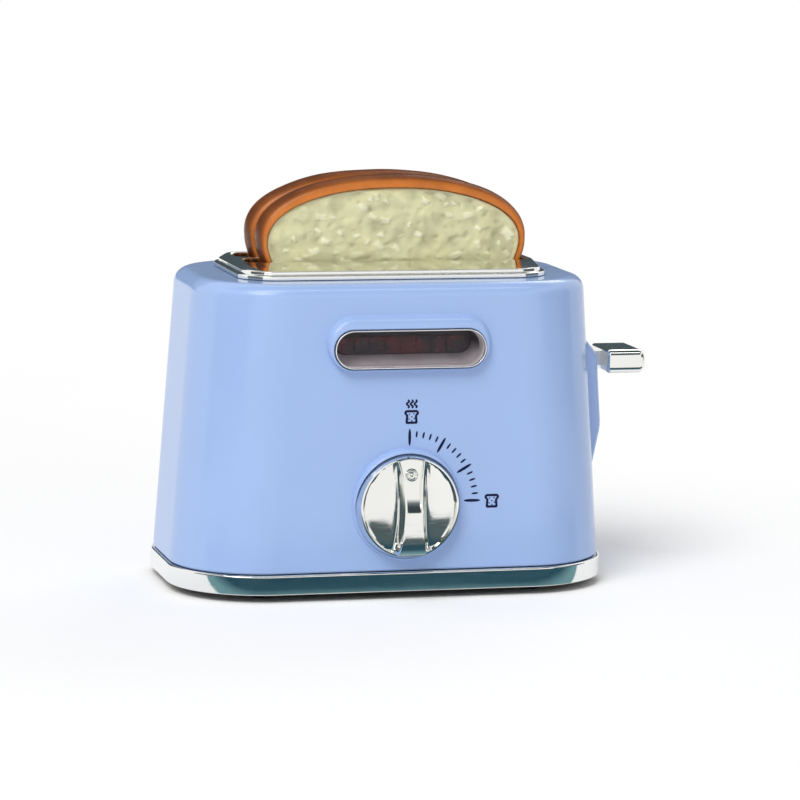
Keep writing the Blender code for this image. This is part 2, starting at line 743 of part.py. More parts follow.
def add_knob_ring(shell):
    """The collar round the knob and the bush its shaft turns in, as one bored ring in the wall."""
    bore = SHAFT_RADIUS + GAP
    cut(shell, cylinder("knob_hole", (bore + BUSH_RADIUS) / 2, (0.0, FRONT_FACE - OVERRUN, KNOB_Z), "+Y",
                        SHELL_WALL + 2 * OVERRUN, steps=SMALL_STEPS))
    collar_round = COLLAR_PROUD / 2
    bush_end = -SHELL_WALL - BUSH_LENGTH
    join(shell, turned("knob_ring", [
        (bore, COLLAR_PROUD),
        (COLLAR_RADIUS - collar_round, COLLAR_PROUD),
        (COLLAR_RADIUS, COLLAR_PROUD - collar_round),
        (COLLAR_RADIUS, -SHELL_WALL / 2),
        (BUSH_RADIUS, -SHELL_WALL / 2),
        (BUSH_RADIUS, bush_end),
        (bore, bush_end),
    ], (0.0, FRONT_FACE, KNOB_Z), "-Y", steps=2 * SMALL_STEPS))


def window_pill(sides, below, above, depth):
    """The window's outline on a plane at a depth, grown at its ends, underneath and above."""
    half_height = (WINDOW_HEIGHT + below + above) / 2
    outline = pill(WINDOW_LENGTH / 2 + sides, half_height, (0.0, WINDOW_Z + (above - below) / 2))
    return [place("Y", a, b, depth) for a, b in outline]


def make_shell():
    shell = body_solid("main_shell", 0.0, BODY_BOTTOM, BLUE)
    join(shell, housing_solid("lever_housing_form", 0.0))
    soft = BOSS_HEIGHT / 5
    join(shell, loft("window_boss_form", [
        window_pill(BOSS_SIDES, BOSS_BELOW, BOSS_ABOVE, FRONT_FACE + SHELL_WALL / 2),
        window_pill(BOSS_SIDES, BOSS_BELOW, BOSS_ABOVE, FRONT_FACE + soft / 3),
        window_pill(BOSS_RIM + soft, BOSS_RIM + soft / 2, BOSS_HOOD + soft, BOSS_FACE_Y + soft),
        window_pill(BOSS_RIM, BOSS_RIM, BOSS_HOOD, BOSS_FACE_Y),
    ]))
    cut(shell, body_solid("shell_cavity", SHELL_WALL, BODY_BOTTOM - OVERRUN))
    cut(shell, housing_solid("lever_housing_hollow", SHELL_WALL))
    add_posts(shell)
    add_knob_ring(shell)
    cut(shell, loft("window_hole", [
        window_pill(GAP, GAP, GAP, BOSS_FACE_Y - OVERRUN),
        window_pill(GAP, GAP, GAP, FRONT_INSIDE + OVERRUN),
    ]))
    half_x, half_y = WELL_OUTER_X + SLIDE_GAP, WELL_OUTER_Y + SLIDE_GAP
    cut(shell, box("top_opening", (-half_x, -half_y, BODY_TOP - SHELL_WALL - OVERRUN),
                   (half_x, half_y, BODY_TOP + OVERRUN)))
    half = ARM_THICKNESS / 2 + SLIDE_GAP
    low = LEVER_Z - TRAVEL - ARM_HEIGHT / 2 - SLIDE_GAP
    high = LEVER_Z + ARM_HEIGHT / 2 + SLIDE_GAP
    inside = half_width_at(BODY_TOP) - SHELL_WALL - OVERRUN
    outside = half_width_at(low) + HOUSING_REACH + OVERRUN
    cut(shell, box("lever_slot", (inside, -half, low), (outside, half, high)))
    return shell


# Base, plinth and feet

def plinth_outline(inset):
    grow = PLINTH_OVERHANG - inset
    return rounded_rect(BASE_WIDTH / 2 + grow, BODY_DEPTH / 2 + grow, CORNER_RADIUS + grow)


def make_plinth():
    """A ring round the base, with a ledge inside that the screws clamp between base and casing."""
    def ring(inset, z):
        return [Vector((x, y, z)) for x, y in plinth_outline(inset)]

    ledge_low = BASE_THICKNESS + GAP
    ledge_high = ledge_low + LEDGE_THICKNESS
    inner = PLINTH_WALL + LEDGE_WIDTH
    half_edge = PLINTH_EDGE / 2
    return loft("plinth", [
        ring(0.0, PLINTH_BOTTOM),
        ring(0.0, PLINTH_TOP - PLINTH_EDGE),
        ring(half_edge / 2, PLINTH_TOP - half_edge / 2),
        ring(PLINTH_EDGE, PLINTH_TOP),
        ring(PLINTH_WALL, PLINTH_TOP),
        ring(PLINTH_WALL, ledge_high),
        ring(inner, ledge_high),
        ring(inner, ledge_low),
        ring(PLINTH_WALL, ledge_low),
        ring(PLINTH_WALL, PLINTH_BOTTOM),
    ], CHROME, closed=True)


def foot_places():
    return [(FOOT_X, FOOT_Y), (-FOOT_X, FOOT_Y), (-FOOT_X, -FOOT_Y), (FOOT_X, -FOOT_Y)]


def make_feet():
    for number, (x, y) in enumerate(foot_places()):
        top = FOOT_RECESS - GAP
        edge = FOOT_DROP / 4
        turned("foot_" + str(number + 1), [
            (0.0, top + FOOT_DROP),
            (FOOT_RADIUS, top + FOOT_DROP),
            (FOOT_RADIUS, edge),
            (FOOT_RADIUS - edge, 0.0),
            (0.0, 0.0),
        ], (x, y, -FOOT_DROP), "+Z", RUBBER, steps=SMALL_STEPS)


BAY_OUTER_X = BAY_LENGTH / 2 + BAY_WALL
BAY_OUTER_Y = BAY_WIDTH / 2 + BAY_WALL
DOOR_SCREW_X = BAY_OUTER_X + DOOR_TONGUE / 2
TOWER_X = ROD_X
STRIP_TOP = HUB_Z0 - TRAVEL - GAP - BRIDGE_THICKNESS - GAP
TOWER_TOP = STRIP_TOP - STRIP_THICKNESS - GAP


def make_base_plate():
    base = plate("base_plate", [plinth_outline(PLINTH_WALL + GAP)], "Z", 0.0, BASE_THICKNESS, DARK)
    bay = box("bay_form", (-BAY_OUTER_X, -BAY_OUTER_Y, BASE_THICKNESS / 2),
              (BAY_OUTER_X, BAY_OUTER_Y, BAY_TOP))
    join(base, bay)
    for side in (-1, 1):
        name = "rod_boss_" + ("front" if side < 0 else "rear")
        join(base, turned(name, [
            (0.0, ROD_SEAT),
            (ROD_RADIUS + GAP, ROD_SEAT),
            (ROD_RADIUS + GAP, BOSS_TOP),
            (BOSS_RADIUS, BOSS_TOP),
            (BOSS_RADIUS, BASE_THICKNESS / 2),
            (0.0, BASE_THICKNESS / 2),
        ], (ROD_X, side * ROD_Y, 0.0), "+Z", steps=SMALL_STEPS))
    half = TOWER_WIDTH / 2
    join(base, box("tower_form", (TOWER_X - half, -half, BASE_THICKNESS / 2),
                   (TOWER_X + half, half, TOWER_TOP)))
    cut(base, box("bay_hollow", (-BAY_LENGTH / 2, -BAY_WIDTH / 2, -OVERRUN),
                  (BAY_LENGTH / 2, BAY_WIDTH / 2, BAY_INSIDE_TOP)))
    x0, x1, y = door_reach()
    cut(base, box("door_recess", (x0 - GAP, -y - GAP, -OVERRUN), (x1 + GAP, y + GAP, DOOR_THICKNESS + GAP)))
    for number, (x, y) in enumerate(foot_places()):
        cut(base, cylinder("foot_recess_" + str(number + 1), FOOT_RADIUS + GAP, (x, y, -OVERRUN), "+Z",
                           OVERRUN + FOOT_RECESS, steps=RECESS_STEPS))
    for number, (x, y) in enumerate(post_places()):
        cut(base, screw_room("screw_room_" + str(number + 1), x, y, BASE_THICKNESS + OVERRUN))
    bore = SCREW_SHANK_RADIUS + GAP
    cut(base, cylinder("door_screw_hole", (bore + POST_RADIUS) / 2, (DOOR_SCREW_X, 0.0, -OVERRUN), "+Z",
                       BASE_THICKNESS + 2 * OVERRUN, steps=SMALL_STEPS))
    boss_low = (DOOR_THICKNESS + GAP + BASE_THICKNESS) / 2
    boss_high = BASE_THICKNESS / 2 + SCREW_LENGTH / 2
    join(base, turned("door_screw_boss", [
        (0.0, boss_high),
        (POST_RADIUS, boss_high),
        (POST_RADIUS, boss_low),
        (bore, boss_low),
        (bore, SCREW_LENGTH / 2 - GAP),
        (0.0, SCREW_LENGTH / 2 - GAP),
    ], (DOOR_SCREW_X, 0.0, 0.0), "+Z", steps=SMALL_STEPS))
    return base


def door_reach():
    """The battery door's left and right ends and its half width."""
    return (-BAY_OUTER_X - DOOR_LAP, BAY_OUTER_X + DOOR_TONGUE, BAY_OUTER_Y + DOOR_LAP)


def screw_room(name, x, y, top):
    """What a screw's head and shank need in a plate, opened downwards."""
    wide, narrow = SCREW_HEAD_RADIUS + GAP, SCREW_SHANK_RADIUS + GAP
    return turned(name, [
        (0.0, top),
        (narrow, top),
        (narrow, SCREW_SEAT),
        (wide, SCREW_SEAT),
        (wide, -OVERRUN),
        (0.0, -OVERRUN),
    ], (x, y, 0.0), "+Z", steps=SMALL_STEPS)


def screw(name, x, y, length):
    """A countersunk cross-head screw, its head at the underside and its shank up."""
    made = turned(name, [
        (0.0, length),
        (SCREW_SHANK_RADIUS, length - SCREW_SHANK_RADIUS),
        (SCREW_SHANK_RADIUS, SCREW_HEAD_HEIGHT),
        (SCREW_HEAD_RADIUS, SCREW_HEAD_HEIGHT),
        (SCREW_HEAD_RADIUS, 0.0),
        (0.0, 0.0),
    ], (x, y, 0.0), "+Z", STEEL, steps=SMALL_STEPS)
    long_half = SCREW_HEAD_RADIUS * 2 / 3
    short_half = CROSS_WIDTH / 2
    for word, half_x, half_y in (("a", long_half, short_half), ("b", short_half, long_half)):
        cut(made, box(name + "_cross_" + word, (x - half_x, y - half_y, -OVERRUN),
                      (x + half_x, y + half_y, CROSS_DEPTH)))
    return made


def make_screws():
    for number, (x, y) in enumerate(post_places()):
        screw("base_screw_" + str(number + 1), x, y, SCREW_LENGTH)
    screw("door_screw", DOOR_SCREW_X, 0.0, SCREW_LENGTH / 2 - OVERRUN)


def make_battery_door():
    x0, x1, y = door_reach()
    door = box("battery_door", (x0, -y, 0.0), (x1, y, DOOR_THICKNESS), DARK)
    rib_top = DOOR_THICKNESS + CELL_OVER_DOOR - GAP
    for side in (-1, 1):
        rib_x = side * BAY_LENGTH / 4
        join(door, box("door_rib_" + ("left" if side < 0 else "right"),
                       (rib_x - DOOR_RIB / 2, -BAY_WIDTH / 2 + 2 * GAP, DOOR_THICKNESS / 2),
                       (rib_x + DOOR_RIB / 2, BAY_WIDTH / 2 - 2 * GAP, rib_top)))
    cut(door, screw_room("door_screw_room", DOOR_SCREW_X, 0.0, DOOR_THICKNESS + OVERRUN))
    return door


# Batteries and contacts

CONTACT_X = BAY_LENGTH / 2 - GAP - CONTACT_THICKNESS
CELL_Y = CELL_SPACING / 2
NUB_X = CONTACT_X - GAP
CELL_FLAT_X = NUB_X - CELL_NUB - CELL_LENGTH


def make_cells():
    """Two AA cells side by side, their nubs at opposite ends."""
    profile = [
        (0.0, CELL_LENGTH + CELL_NUB),
        (CELL_NUB_RADIUS, CELL_LENGTH + CELL_NUB),
        (CELL_NUB_RADIUS, CELL_LENGTH),
        (CELL_RADIUS - CELL_EDGE, CELL_LENGTH),
        (CELL_RADIUS, CELL_LENGTH - CELL_EDGE),
        (CELL_RADIUS, CELL_EDGE),
        (CELL_RADIUS - CELL_EDGE, 0.0),
        (0.0, 0.0),
    ]
    turned("battery_front", profile, (CELL_FLAT_X, -CELL_Y, CELL_Z), "+X", CELL)
    turned("battery_rear", profile, (-CELL_FLAT_X, CELL_Y, CELL_Z), "-X", CELL)


def make_contacts():
    low, high = CELL_Z - CONTACT_HEIGHT / 2, CELL_Z + CONTACT_HEIGHT / 2
    half = CONTACT_WIDTH / 2
    left, right = -CONTACT_X - CONTACT_THICKNESS, CONTACT_X + CONTACT_THICKNESS
    box("contact_link", (left, -CELL_Y - half, low), (-CONTACT_X, CELL_Y + half, high), BRASS)
    box("contact_plus", (CONTACT_X, -CELL_Y - half, low), (right, -CELL_Y + half, high), BRASS)
    box("contact_minus", (CONTACT_X, CELL_Y - half, low), (right, CELL_Y + half, high), BRASS)
    stretch = CONTACT_X + CELL_FLAT_X - 2 * GAP - CELL_SPRING_WIRE
    start = CONTACT_X - GAP - CELL_SPRING_WIRE / 2
    for name, side, aim in (("battery_spring_front", -1, "+X"), ("battery_spring_rear", 1, "-X")):
        origin = (side * start, side * CELL_Y, CELL_Z)
        points = helix(origin, aim, CELL_SPRING_RADIUS, stretch, CELL_SPRING_CURLS)
        tube(name, points, CELL_SPRING_WIRE / 2, STEEL, resolution=1)
        report_coil_gap(name, points, CELL_SPRING_WIRE)


def make_switch_strips():
    """Two brass strips up the tower's sides; their tabs meet the bridge when the carriage is down."""
    for word, side in (("front", -1), ("rear", 1)):
        inner = side * (TOWER_WIDTH / 2 + TOWER_SIDE_GAP)
        outer = inner + side * STRIP_THICKNESS
        tip = inner - side * STRIP_TAB
        low, high = BASE_THICKNESS + GAP, STRIP_TOP
        outline = [(outer, low), (outer, high), (tip, high), (tip, high - STRIP_THICKNESS),
                   (inner, high - STRIP_THICKNESS), (inner, low)]
        plate("switch_strip_" + word, [outline], "X",
              TOWER_X - STRIP_WIDTH / 2, TOWER_X + STRIP_WIDTH / 2, BRASS)


# Slot frame and bread well

def slot_outline(side, grow):
    half_a, half_b = SLOT_LENGTH / 2 + grow, SLOT_WIDTH / 2 + grow
    return rounded_rect(half_a, half_b, SLOT_CORNER + grow, steps=5, centre=(0.0, side * SLOT_Y))


def make_slot_frame():
    """A stepped chrome frame with two slots; its top rises gently towards them."""
    half_a, half_b = FRAME_LENGTH / 2, FRAME_DEPTH / 2

    def ring(inset, z):
        outline = rounded_rect(half_a - inset, half_b - inset, FRAME_CORNER - inset, steps=6)
        return [Vector((x, y, z)) for x, y in outline]

    flange = FRAME_BOTTOM + FLANGE_HEIGHT
    collar = flange + COLLAR_HEIGHT
    top = collar + CROWN_HEIGHT
    crown = rounded_rect(SLOT_LENGTH / 2 + CROWN_MARGIN, SLOT_Y + SLOT_WIDTH / 2 + CROWN_MARGIN,
                         SLOT_CORNER + CROWN_MARGIN, steps=6)
    frame = loft("slot_frame", [
        ring(0.0, FRAME_BOTTOM),
        ring(0.0, flange - FRAME_ROUND),
        ring(FRAME_ROUND, flange),
        ring(COLLAR_INSET, flange),
        ring(COLLAR_INSET, collar - FRAME_ROUND),
        ring(COLLAR_INSET + FRAME_ROUND, collar),
        [Vector((x, y, top)) for x, y in crown],
    ], CHROME)
    for side in (-1, 1):
        name = "slot_cut_" + ("front" if side < 0 else "rear")
        rings = []
        levels = ((0.0, FRAME_BOTTOM - OVERRUN), (0.0, top - SLOT_LIP),
                  (SLOT_LIP, top), (SLOT_LIP, top + OVERRUN))
        for grow, z in levels:
            rings.append([Vector((x, y, z)) for x, y in slot_outline(side, grow)])
        cut(frame, loft(name, rings))
    return frame


def make_bread_well():
    """A dark liner with two wells, open at the top and slit at the right for the racks."""
    well = box("bread_well", (-WELL_OUTER_X, -WELL_OUTER_Y, WELL_BOTTOM),
               (WELL_OUTER_X, WELL_OUTER_Y, WELL_TOP), DARK)
    lug_x = WELL_OUTER_X + LUG_REACH
    join(well, box("rod_lug", (WELL_OUTER_X - WELL_WALL / 2, -LUG_WIDTH / 2, LUG_BOTTOM),
                   (lug_x, LUG_WIDTH / 2, LUG_TOP)))
    inner = SLOT_Y - SLOT_WIDTH / 2 - WELL_CLEARANCE
    slit_top = RACK_TOP + SLIDE_GAP
    for side in (-1, 1):
        word = "front" if side < 0 else "rear"
        y0, y1 = sorted((side * inner, side * WELL_INNER_Y))
        cut(well, box("well_" + word, (-WELL_INNER_X, y0, WELL_FLOOR_TOP),
                      (WELL_INNER_X, y1, WELL_TOP + OVERRUN)))
        middle = side * SLOT_Y
        cut(well, box("slit_" + word, (WELL_INNER_X - OVERRUN, middle - SLIT_WIDTH / 2, WELL_FLOOR_TOP),
                      (WELL_OUTER_X + OVERRUN, middle + SLIT_WIDTH / 2, slit_top)))
        hole_place = (ROD_X, side * ROD_Y, LUG_BOTTOM - OVERRUN)
        cut(well, cylinder("lug_hole_" + word, ROD_RADIUS + GAP, hole_place, "+Z",
                           LUG_THICKNESS + 2 * OVERRUN, steps=SMALL_STEPS))
    return well


# Bread slices

def crumb_outline():
    """Points and outward directions round the crumb, from the right side over the crown.

    The crown is half of a slightly full ellipse, its lobes turn in to the waist,
    and the foot has round corners.
    """
    half = CRUMB_WIDTH / 2
    waist = WAIST_WIDTH / 2
    crown_z = SLICE_BOTTOM + SLICE_HEIGHT - CRUST_TOP - CROWN_RISE
    foot_z = SLICE_BOTTOM + CRUST_SIDE
    crown_steps, lobe_steps, foot_steps = 20, 5, 4
    right = []
    for i in range(foot_steps + 1):
        angle = -math.pi / 2 * (1 - i / foot_steps)
        right.append((waist - FOOT_CORNER + FOOT_CORNER * math.cos(angle),
                      foot_z + FOOT_CORNER + FOOT_CORNER * math.sin(angle)))
    for i in range(lobe_steps):
        share = i / lobe_steps
        ease = (1 - math.cos(math.pi * share)) / 2
        right.append((waist + (half - waist) * ease, crown_z - LOBE_DROP * (1 - share)))
    crown = []
    for i in range(crown_steps + 1):
        angle = math.pi * i / crown_steps
        across = math.copysign(abs(math.cos(angle)) ** (2 / CROWN_FULLNESS), math.cos(angle))
        crown.append((half * across, crown_z + CROWN_RISE * math.sin(angle) ** (2 / CROWN_FULLNESS)))
    left = [(-x, z) for x, z in reversed(right)]
    return right + crown + left


def outward(points):
    """The outward direction at each point of an anticlockwise outline."""
    result = []
    count = len(points)
    for i in range(count):
        x0, z0 = points[i - 1]
        x1, z1 = points[(i + 1) % count]
        away = Vector((z1 - z0, x0 - x1))
        result.append(away.normalized())
    return result


def grown(points, side, top):
    """An outline moved outwards, more where it faces up."""
    result = []
    for (x, z), away in zip(points, outward(points)):
        distance = side + (top - side) * max(0.0, away.y)
        result.append((x + away.x * distance, z + away.y * distance))
    return result


def make_slice(word, side):
    base = crumb_outline()
    middle = side * SLOT_Y
    half = SLICE_THICKNESS / 2

    def ring(outline, depth):
        return [Vector((x + SLICE_SHIFT, middle + depth, z)) for x, z in outline]

    edge_ring = grown(base, -CRUMB_EDGE, -CRUMB_EDGE)
    crumb = loft("slice_" + word + "_crumb", [
        ring(edge_ring, -half),
        ring(base, -half + CRUMB_EDGE),
        ring(base, half - CRUMB_EDGE),
        ring(edge_ring, half),
    ], CRUMB)
    inner = grown(base, GAP, GAP)
    lip = grown(base, CRUST_EDGE, CRUST_EDGE)
    shoulder = grown(base, CRUST_SIDE * 5 / 6, CRUST_TOP * 5 / 6)
    outer = grown(base, CRUST_SIDE, CRUST_TOP)
    rim = half - CRUST_SETBACK
    crust = loft("slice_" + word + "_crust", [
        ring(inner, -rim),
        ring(lip, -rim),
        ring(shoulder, -rim * 2 / 3),
        ring(outer, 0.0),
        ring(shoulder, rim * 2 / 3),
        ring(lip, rim),
        ring(inner, rim),
    ], CRUST, closed=True)
    carry(pivot("slice_" + word + "_lift", (SLICE_SHIFT, middle, SLICE_BOTTOM)), [crumb, crust])


# Carriage and lever

def make_rack(word, side):
    middle = side * SLOT_Y
    end = WELL_INNER_X - 2 * SLIDE_GAP
    neck_end = HUB_X0 + OVERRUN
    half, neck = RACK_WIDTH / 2, RACK_NECK / 2
    outline = [
        (-end, middle - half), (end - half, middle - half), (end, middle - neck), (neck_end, middle - neck),
        (neck_end, middle + neck), (end, middle + neck), (end - half, middle + half), (-end, middle + half),
    ]
    holes = []
    hole_length = (2 * end - 4 * RACK_WEB) / 3
    for i in (-1, 0, 1):
        centre = (i * (hole_length + RACK_WEB), middle)
        holes.append(rounded_rect(hole_length / 2, RACK_HOLE_WIDTH / 2, RACK_HOLE_WIDTH / 4, 2, centre))
    return plate("rack_" + word, [outline] + holes, "Z", RACK_BOTTOM, RACK_TOP, STEEL)


def make_carriage():
    half = HUB_WIDTH / 2
    hub = box("bread_carriage", (HUB_X0, -half, HUB_Z0), (HUB_X1, half, HUB_Z1), PALE)
    tab_z1 = HUB_Z1 - TAB_DROP
    join(hub, box("tab_form", (HUB_X0, -half - TAB_REACH, tab_z1 - TAB_HEIGHT),
                  (HUB_X0 + TAB_WIDTH, -half + OVERRUN, tab_z1)))
    for word, side in (("front", -1), ("rear", 1)):
        middle = side * SLOT_Y
        cut(hub, box("rack_pocket_" + word,
                     (HUB_X0 - OVERRUN, middle - RACK_NECK / 2 - GAP, RACK_BOTTOM - GAP),
                     (HUB_X0 + OVERRUN + GAP, middle + RACK_NECK / 2 + GAP, RACK_TOP + GAP)))
        bore_place = (ROD_X, side * ROD_Y, HUB_Z0 - OVERRUN)
        cut(hub, cylinder("hub_bore_" + word, ROD_RADIUS + SLIDE_GAP, bore_place, "+Z",
                          HUB_HEIGHT + 2 * OVERRUN, steps=SMALL_STEPS))
    arm_half, arm_rise = ARM_THICKNESS / 2, ARM_HEIGHT / 2
    cut(hub, box("arm_pocket", (HUB_X1 - ARM_EMBED - GAP, -arm_half - GAP, LEVER_Z - arm_rise - GAP),
                 (HUB_X1 + OVERRUN, arm_half + GAP, LEVER_Z + arm_rise + GAP)))
    knob_x0 = half_width_at(HOUSING_KNEE) + HOUSING_REACH + LEVER_GAP
    knob_x1 = knob_x0 + LEVER_LENGTH
    arm = box("lever_arm", (HUB_X1 - ARM_EMBED, -arm_half, LEVER_Z - arm_rise),
              (knob_x0 + LEVER_POCKET - GAP, arm_half, LEVER_Z + arm_rise), STEEL)
    outline = rounded_rect((knob_x1 - knob_x0) / 2, LEVER_WIDTH / 2, LEVER_LENGTH / 3, 5,
                           ((knob_x0 + knob_x1) / 2, 0.0))
    knob = plate("lever_knob", [outline], "Z", LEVER_Z - LEVER_HEIGHT / 2, LEVER_Z + LEVER_HEIGHT / 2, CHROME)
    bevel(knob, LEVER_EDGE, segments=3, degrees=60.0)
    cut(knob, box("lever_pocket", (knob_x0 - OVERRUN, -arm_half - GAP, LEVER_Z - arm_rise - GAP),
                  (knob_x0 + LEVER_POCKET, arm_half + GAP, LEVER_Z + arm_rise + GAP)))
    bridge_top = HUB_Z0 - GAP
    bridge_half = TOWER_WIDTH / 2
    bridge = box("switch_bridge", (TOWER_X - bridge_half, -bridge_half, bridge_top - BRIDGE_THICKNESS),
                 (TOWER_X + bridge_half, bridge_half, bridge_top), BRASS)
    racks = [make_rack("front", -1), make_rack("rear", 1)]
    carry(pivot("carriage_slide", (ROD_X, 0.0, HUB_Z1)), [hub, arm, knob, bridge] + racks)


def make_rods_and_springs():
    for word, side in (("front", -1), ("rear", 1)):
        y = side * ROD_Y
        low = ROD_SEAT + GAP
        rod_length = LUG_TOP + GAP - low
        cylinder("guide_rod_" + word, ROD_RADIUS, (ROD_X, y, low), "+Z", rod_length, STEEL, SMALL_STEPS)
        start = BOSS_TOP + GAP + SPRING_WIRE / 2
        length = HUB_Z0 - GAP - SPRING_WIRE / 2 - start
        points = helix((ROD_X, y, start), "+Z", SPRING_RADIUS, length, SPRING_CURLS)
        tube("return_spring_" + word, points, SPRING_WIRE / 2, STEEL, resolution=1)
        report_coil_gap("return_spring_" + word, points, SPRING_WIRE)


# Window

def pill_ring(grow, depth, drop=0.0):
    """The window's outline shrunk by a negative grow, its lower side raised by drop."""
    middle = WINDOW_Z + drop / 2
    outline = pill(WINDOW_LENGTH / 2 + grow, WINDOW_HEIGHT / 2 + grow - drop / 2, (0.0, middle))
    return [place("Y", a, b, depth) for a, b in outline]


def make_window():
    rear_bore = -BEZEL_RIM - BEZEL_STEP
    step_y = LENS_Y + LENS_THICKNESS + GAP
    bezel_round = BEZEL_RIM / 4
    loft("window_bezel", [
        pill_ring(0.0, FRONT_INSIDE + GAP),
        pill_ring(0.0, BEZEL_FRONT_Y + bezel_round),
        pill_ring(-bezel_round, BEZEL_FRONT_Y),
        pill_ring(-BEZEL_RIM, BEZEL_FRONT_Y + bezel_round),
        pill_ring(-BEZEL_RIM, step_y),
        pill_ring(rear_bore, step_y),
        pill_ring(rear_bore, BEZEL_BACK_Y),
        pill_ring(BEZEL_FLANGE, BEZEL_BACK_Y),
        pill_ring(BEZEL_FLANGE, FRONT_INSIDE + GAP),
    ], CHROME, closed=True)
    loft("window_lens", [
        pill_ring(-BEZEL_RIM - GAP, LENS_Y),
        pill_ring(-BEZEL_RIM - GAP, LENS_Y + LENS_THICKNESS),
    ], SMOKE)
    back = TRAY_BACK_Y - TRAY_WALL
    tray = loft("window_tray", [
        pill_ring(-TRAY_DRAFT, TRAY_BACK_Y),
        pill_ring(0.0, TRAY_Y),
        pill_ring(rear_bore, TRAY_Y),
        pill_ring(rear_bore - TRAY_DRAFT, back),
    ], SILVER)
    for word, side in (("left", -1), ("right", 1)):
        centre = (side * LAMP_SPACING / 2, TRAY_BACK_Y + OVERRUN, WINDOW_Z)
        cut(tray, cylinder("lamp_hole_" + word, LAMP_RADIUS + GAP, centre, "-Y", TRAY_WALL + 2 * OVERRUN,
                           steps=SMALL_STEPS))
    panel_back = back - GAP
    panel_front = panel_back - PANEL_THICKNESS
    shrink = rear_bore - TRAY_DRAFT - GAP
    panel = loft("glow_panel", [pill_ring(shrink, panel_front), pill_ring(shrink, panel_back)], RED)
    run = WINDOW_LENGTH / 2 + shrink - WINDOW_HEIGHT / 2
    rise = WINDOW_HEIGHT / 2 + shrink - PANEL_RIB_WIDTH / 2
    for i in range(PANEL_RIBS):
        x = run * (2 * i / (PANEL_RIBS - 1) - 1)
        z = WINDOW_Z
        join(panel, box("panel_rib_" + str(i + 1),
                        (x - PANEL_RIB_WIDTH / 2, panel_front - PANEL_RIB_HEIGHT, z - rise),
                        (x + PANEL_RIB_WIDTH / 2, panel_front + PANEL_THICKNESS / 2, z + rise)))


def make_lamps():
    for word, side in (("left", -1), ("right", 1)):
        tip = LAMP_LENGTH - LAMP_RADIUS
        dome = [(LAMP_RADIUS * math.sin(math.pi / 2 * i / 3),
                 tip + LAMP_RADIUS * math.cos(math.pi / 2 * i / 3))
                for i in range(4)]
        dome[0] = (0.0, LAMP_LENGTH)
        wide = LAMP_RADIUS + LAMP_COLLAR
        profile = dome + [(LAMP_RADIUS, LAMP_COLLAR * 2), (wide, LAMP_COLLAR * 2), (wide, 0.0), (0.0, 0.0)]
        centre = (side * LAMP_SPACING / 2, LAMP_Y + LAMP_LENGTH, WINDOW_Z)
        turned("lamp_" + word, profile, centre, "-Y", LAMP, steps=SMALL_STEPS * 3 // 4)
    half_a, half_b = BOARD_LENGTH / 2, BOARD_HEIGHT / 2
    z = WINDOW_Z
    box("lamp_board", (-half_a, BOARD_Y, z - half_b), (half_a, BOARD_Y + BOARD_THICKNESS, z + half_b), BOARD)


# Knob and its shaft

def make_knob():
    """A round chrome knob with a grip across it: waisted seen from the front, arched seen from the side."""
    rim_round = KNOB_RIM_WIDTH / 2
    dish = KNOB_FACE_RADIUS - KNOB_RIM_WIDTH
    knob = turned("knob", [
        (0.0, KNOB_RIM_DEPTH - KNOB_DISH),
        (dish - KNOB_DISH, KNOB_RIM_DEPTH - KNOB_DISH),
        (dish, KNOB_RIM_DEPTH),
        (KNOB_FACE_RADIUS - rim_round, KNOB_RIM_DEPTH),
        (KNOB_FACE_RADIUS, KNOB_RIM_DEPTH - rim_round),
        (KNOB_RADIUS, rim_round),
        (KNOB_RADIUS, 0.0),
        (0.0, 0.0),
    ], (0.0, KNOB_BASE_Y, KNOB_Z), "-Y", CHROME, steps=2 * SMALL_STEPS)
    reach = KNOB_FACE_RADIUS - rim_round / 2
    rings = []
    steps = 16
    for i in range(steps + 1):
        share = math.sin(math.pi / 2 * (2 * i / steps - 1))
        z = reach * share
        half = GRIP_WAIST_HALF + (GRIP_END_HALF - GRIP_WAIST_HALF) * share * share
        height = GRIP_HEIGHT * (1 - share ** GRIP_FULLNESS)
        bottom = KNOB_RIM_Y + KNOB_DISH * 2
        top = KNOB_RIM_Y - height - KNOB_DISH / 2
        foot = half + GRIP_FOOT * (1 - share * share)
        round_off = KNOB_DISH / 2
        section = [(-foot, bottom), (foot, bottom), (half, top + round_off), (half - round_off, top),
                   (round_off - half, top), (-half, top + round_off)]
        rings.append([Vector((x, y, KNOB_Z + z)) for x, y in section])
    join(knob, loft("grip_form", rings))
    share = DIMPLE_RISE / reach
    dimple_y = KNOB_RIM_Y - GRIP_HEIGHT * (1 - share ** GRIP_FULLNESS) - KNOB_DISH / 2 + DIMPLE_DEPTH
    dimple_place = (0.0, dimple_y, KNOB_Z + DIMPLE_RISE)
    cut(knob, cylinder("dimple_form", DIMPLE_RADIUS, dimple_place, "-Y", GRIP_HEIGHT, steps=SMALL_STEPS))
    cut(knob, cylinder("knob_socket", SHAFT_RADIUS + GAP, (0.0, KNOB_BASE_Y + OVERRUN, KNOB_Z), "-Y",
                       OVERRUN + KNOB_SOCKET, steps=SMALL_STEPS))
    return knob


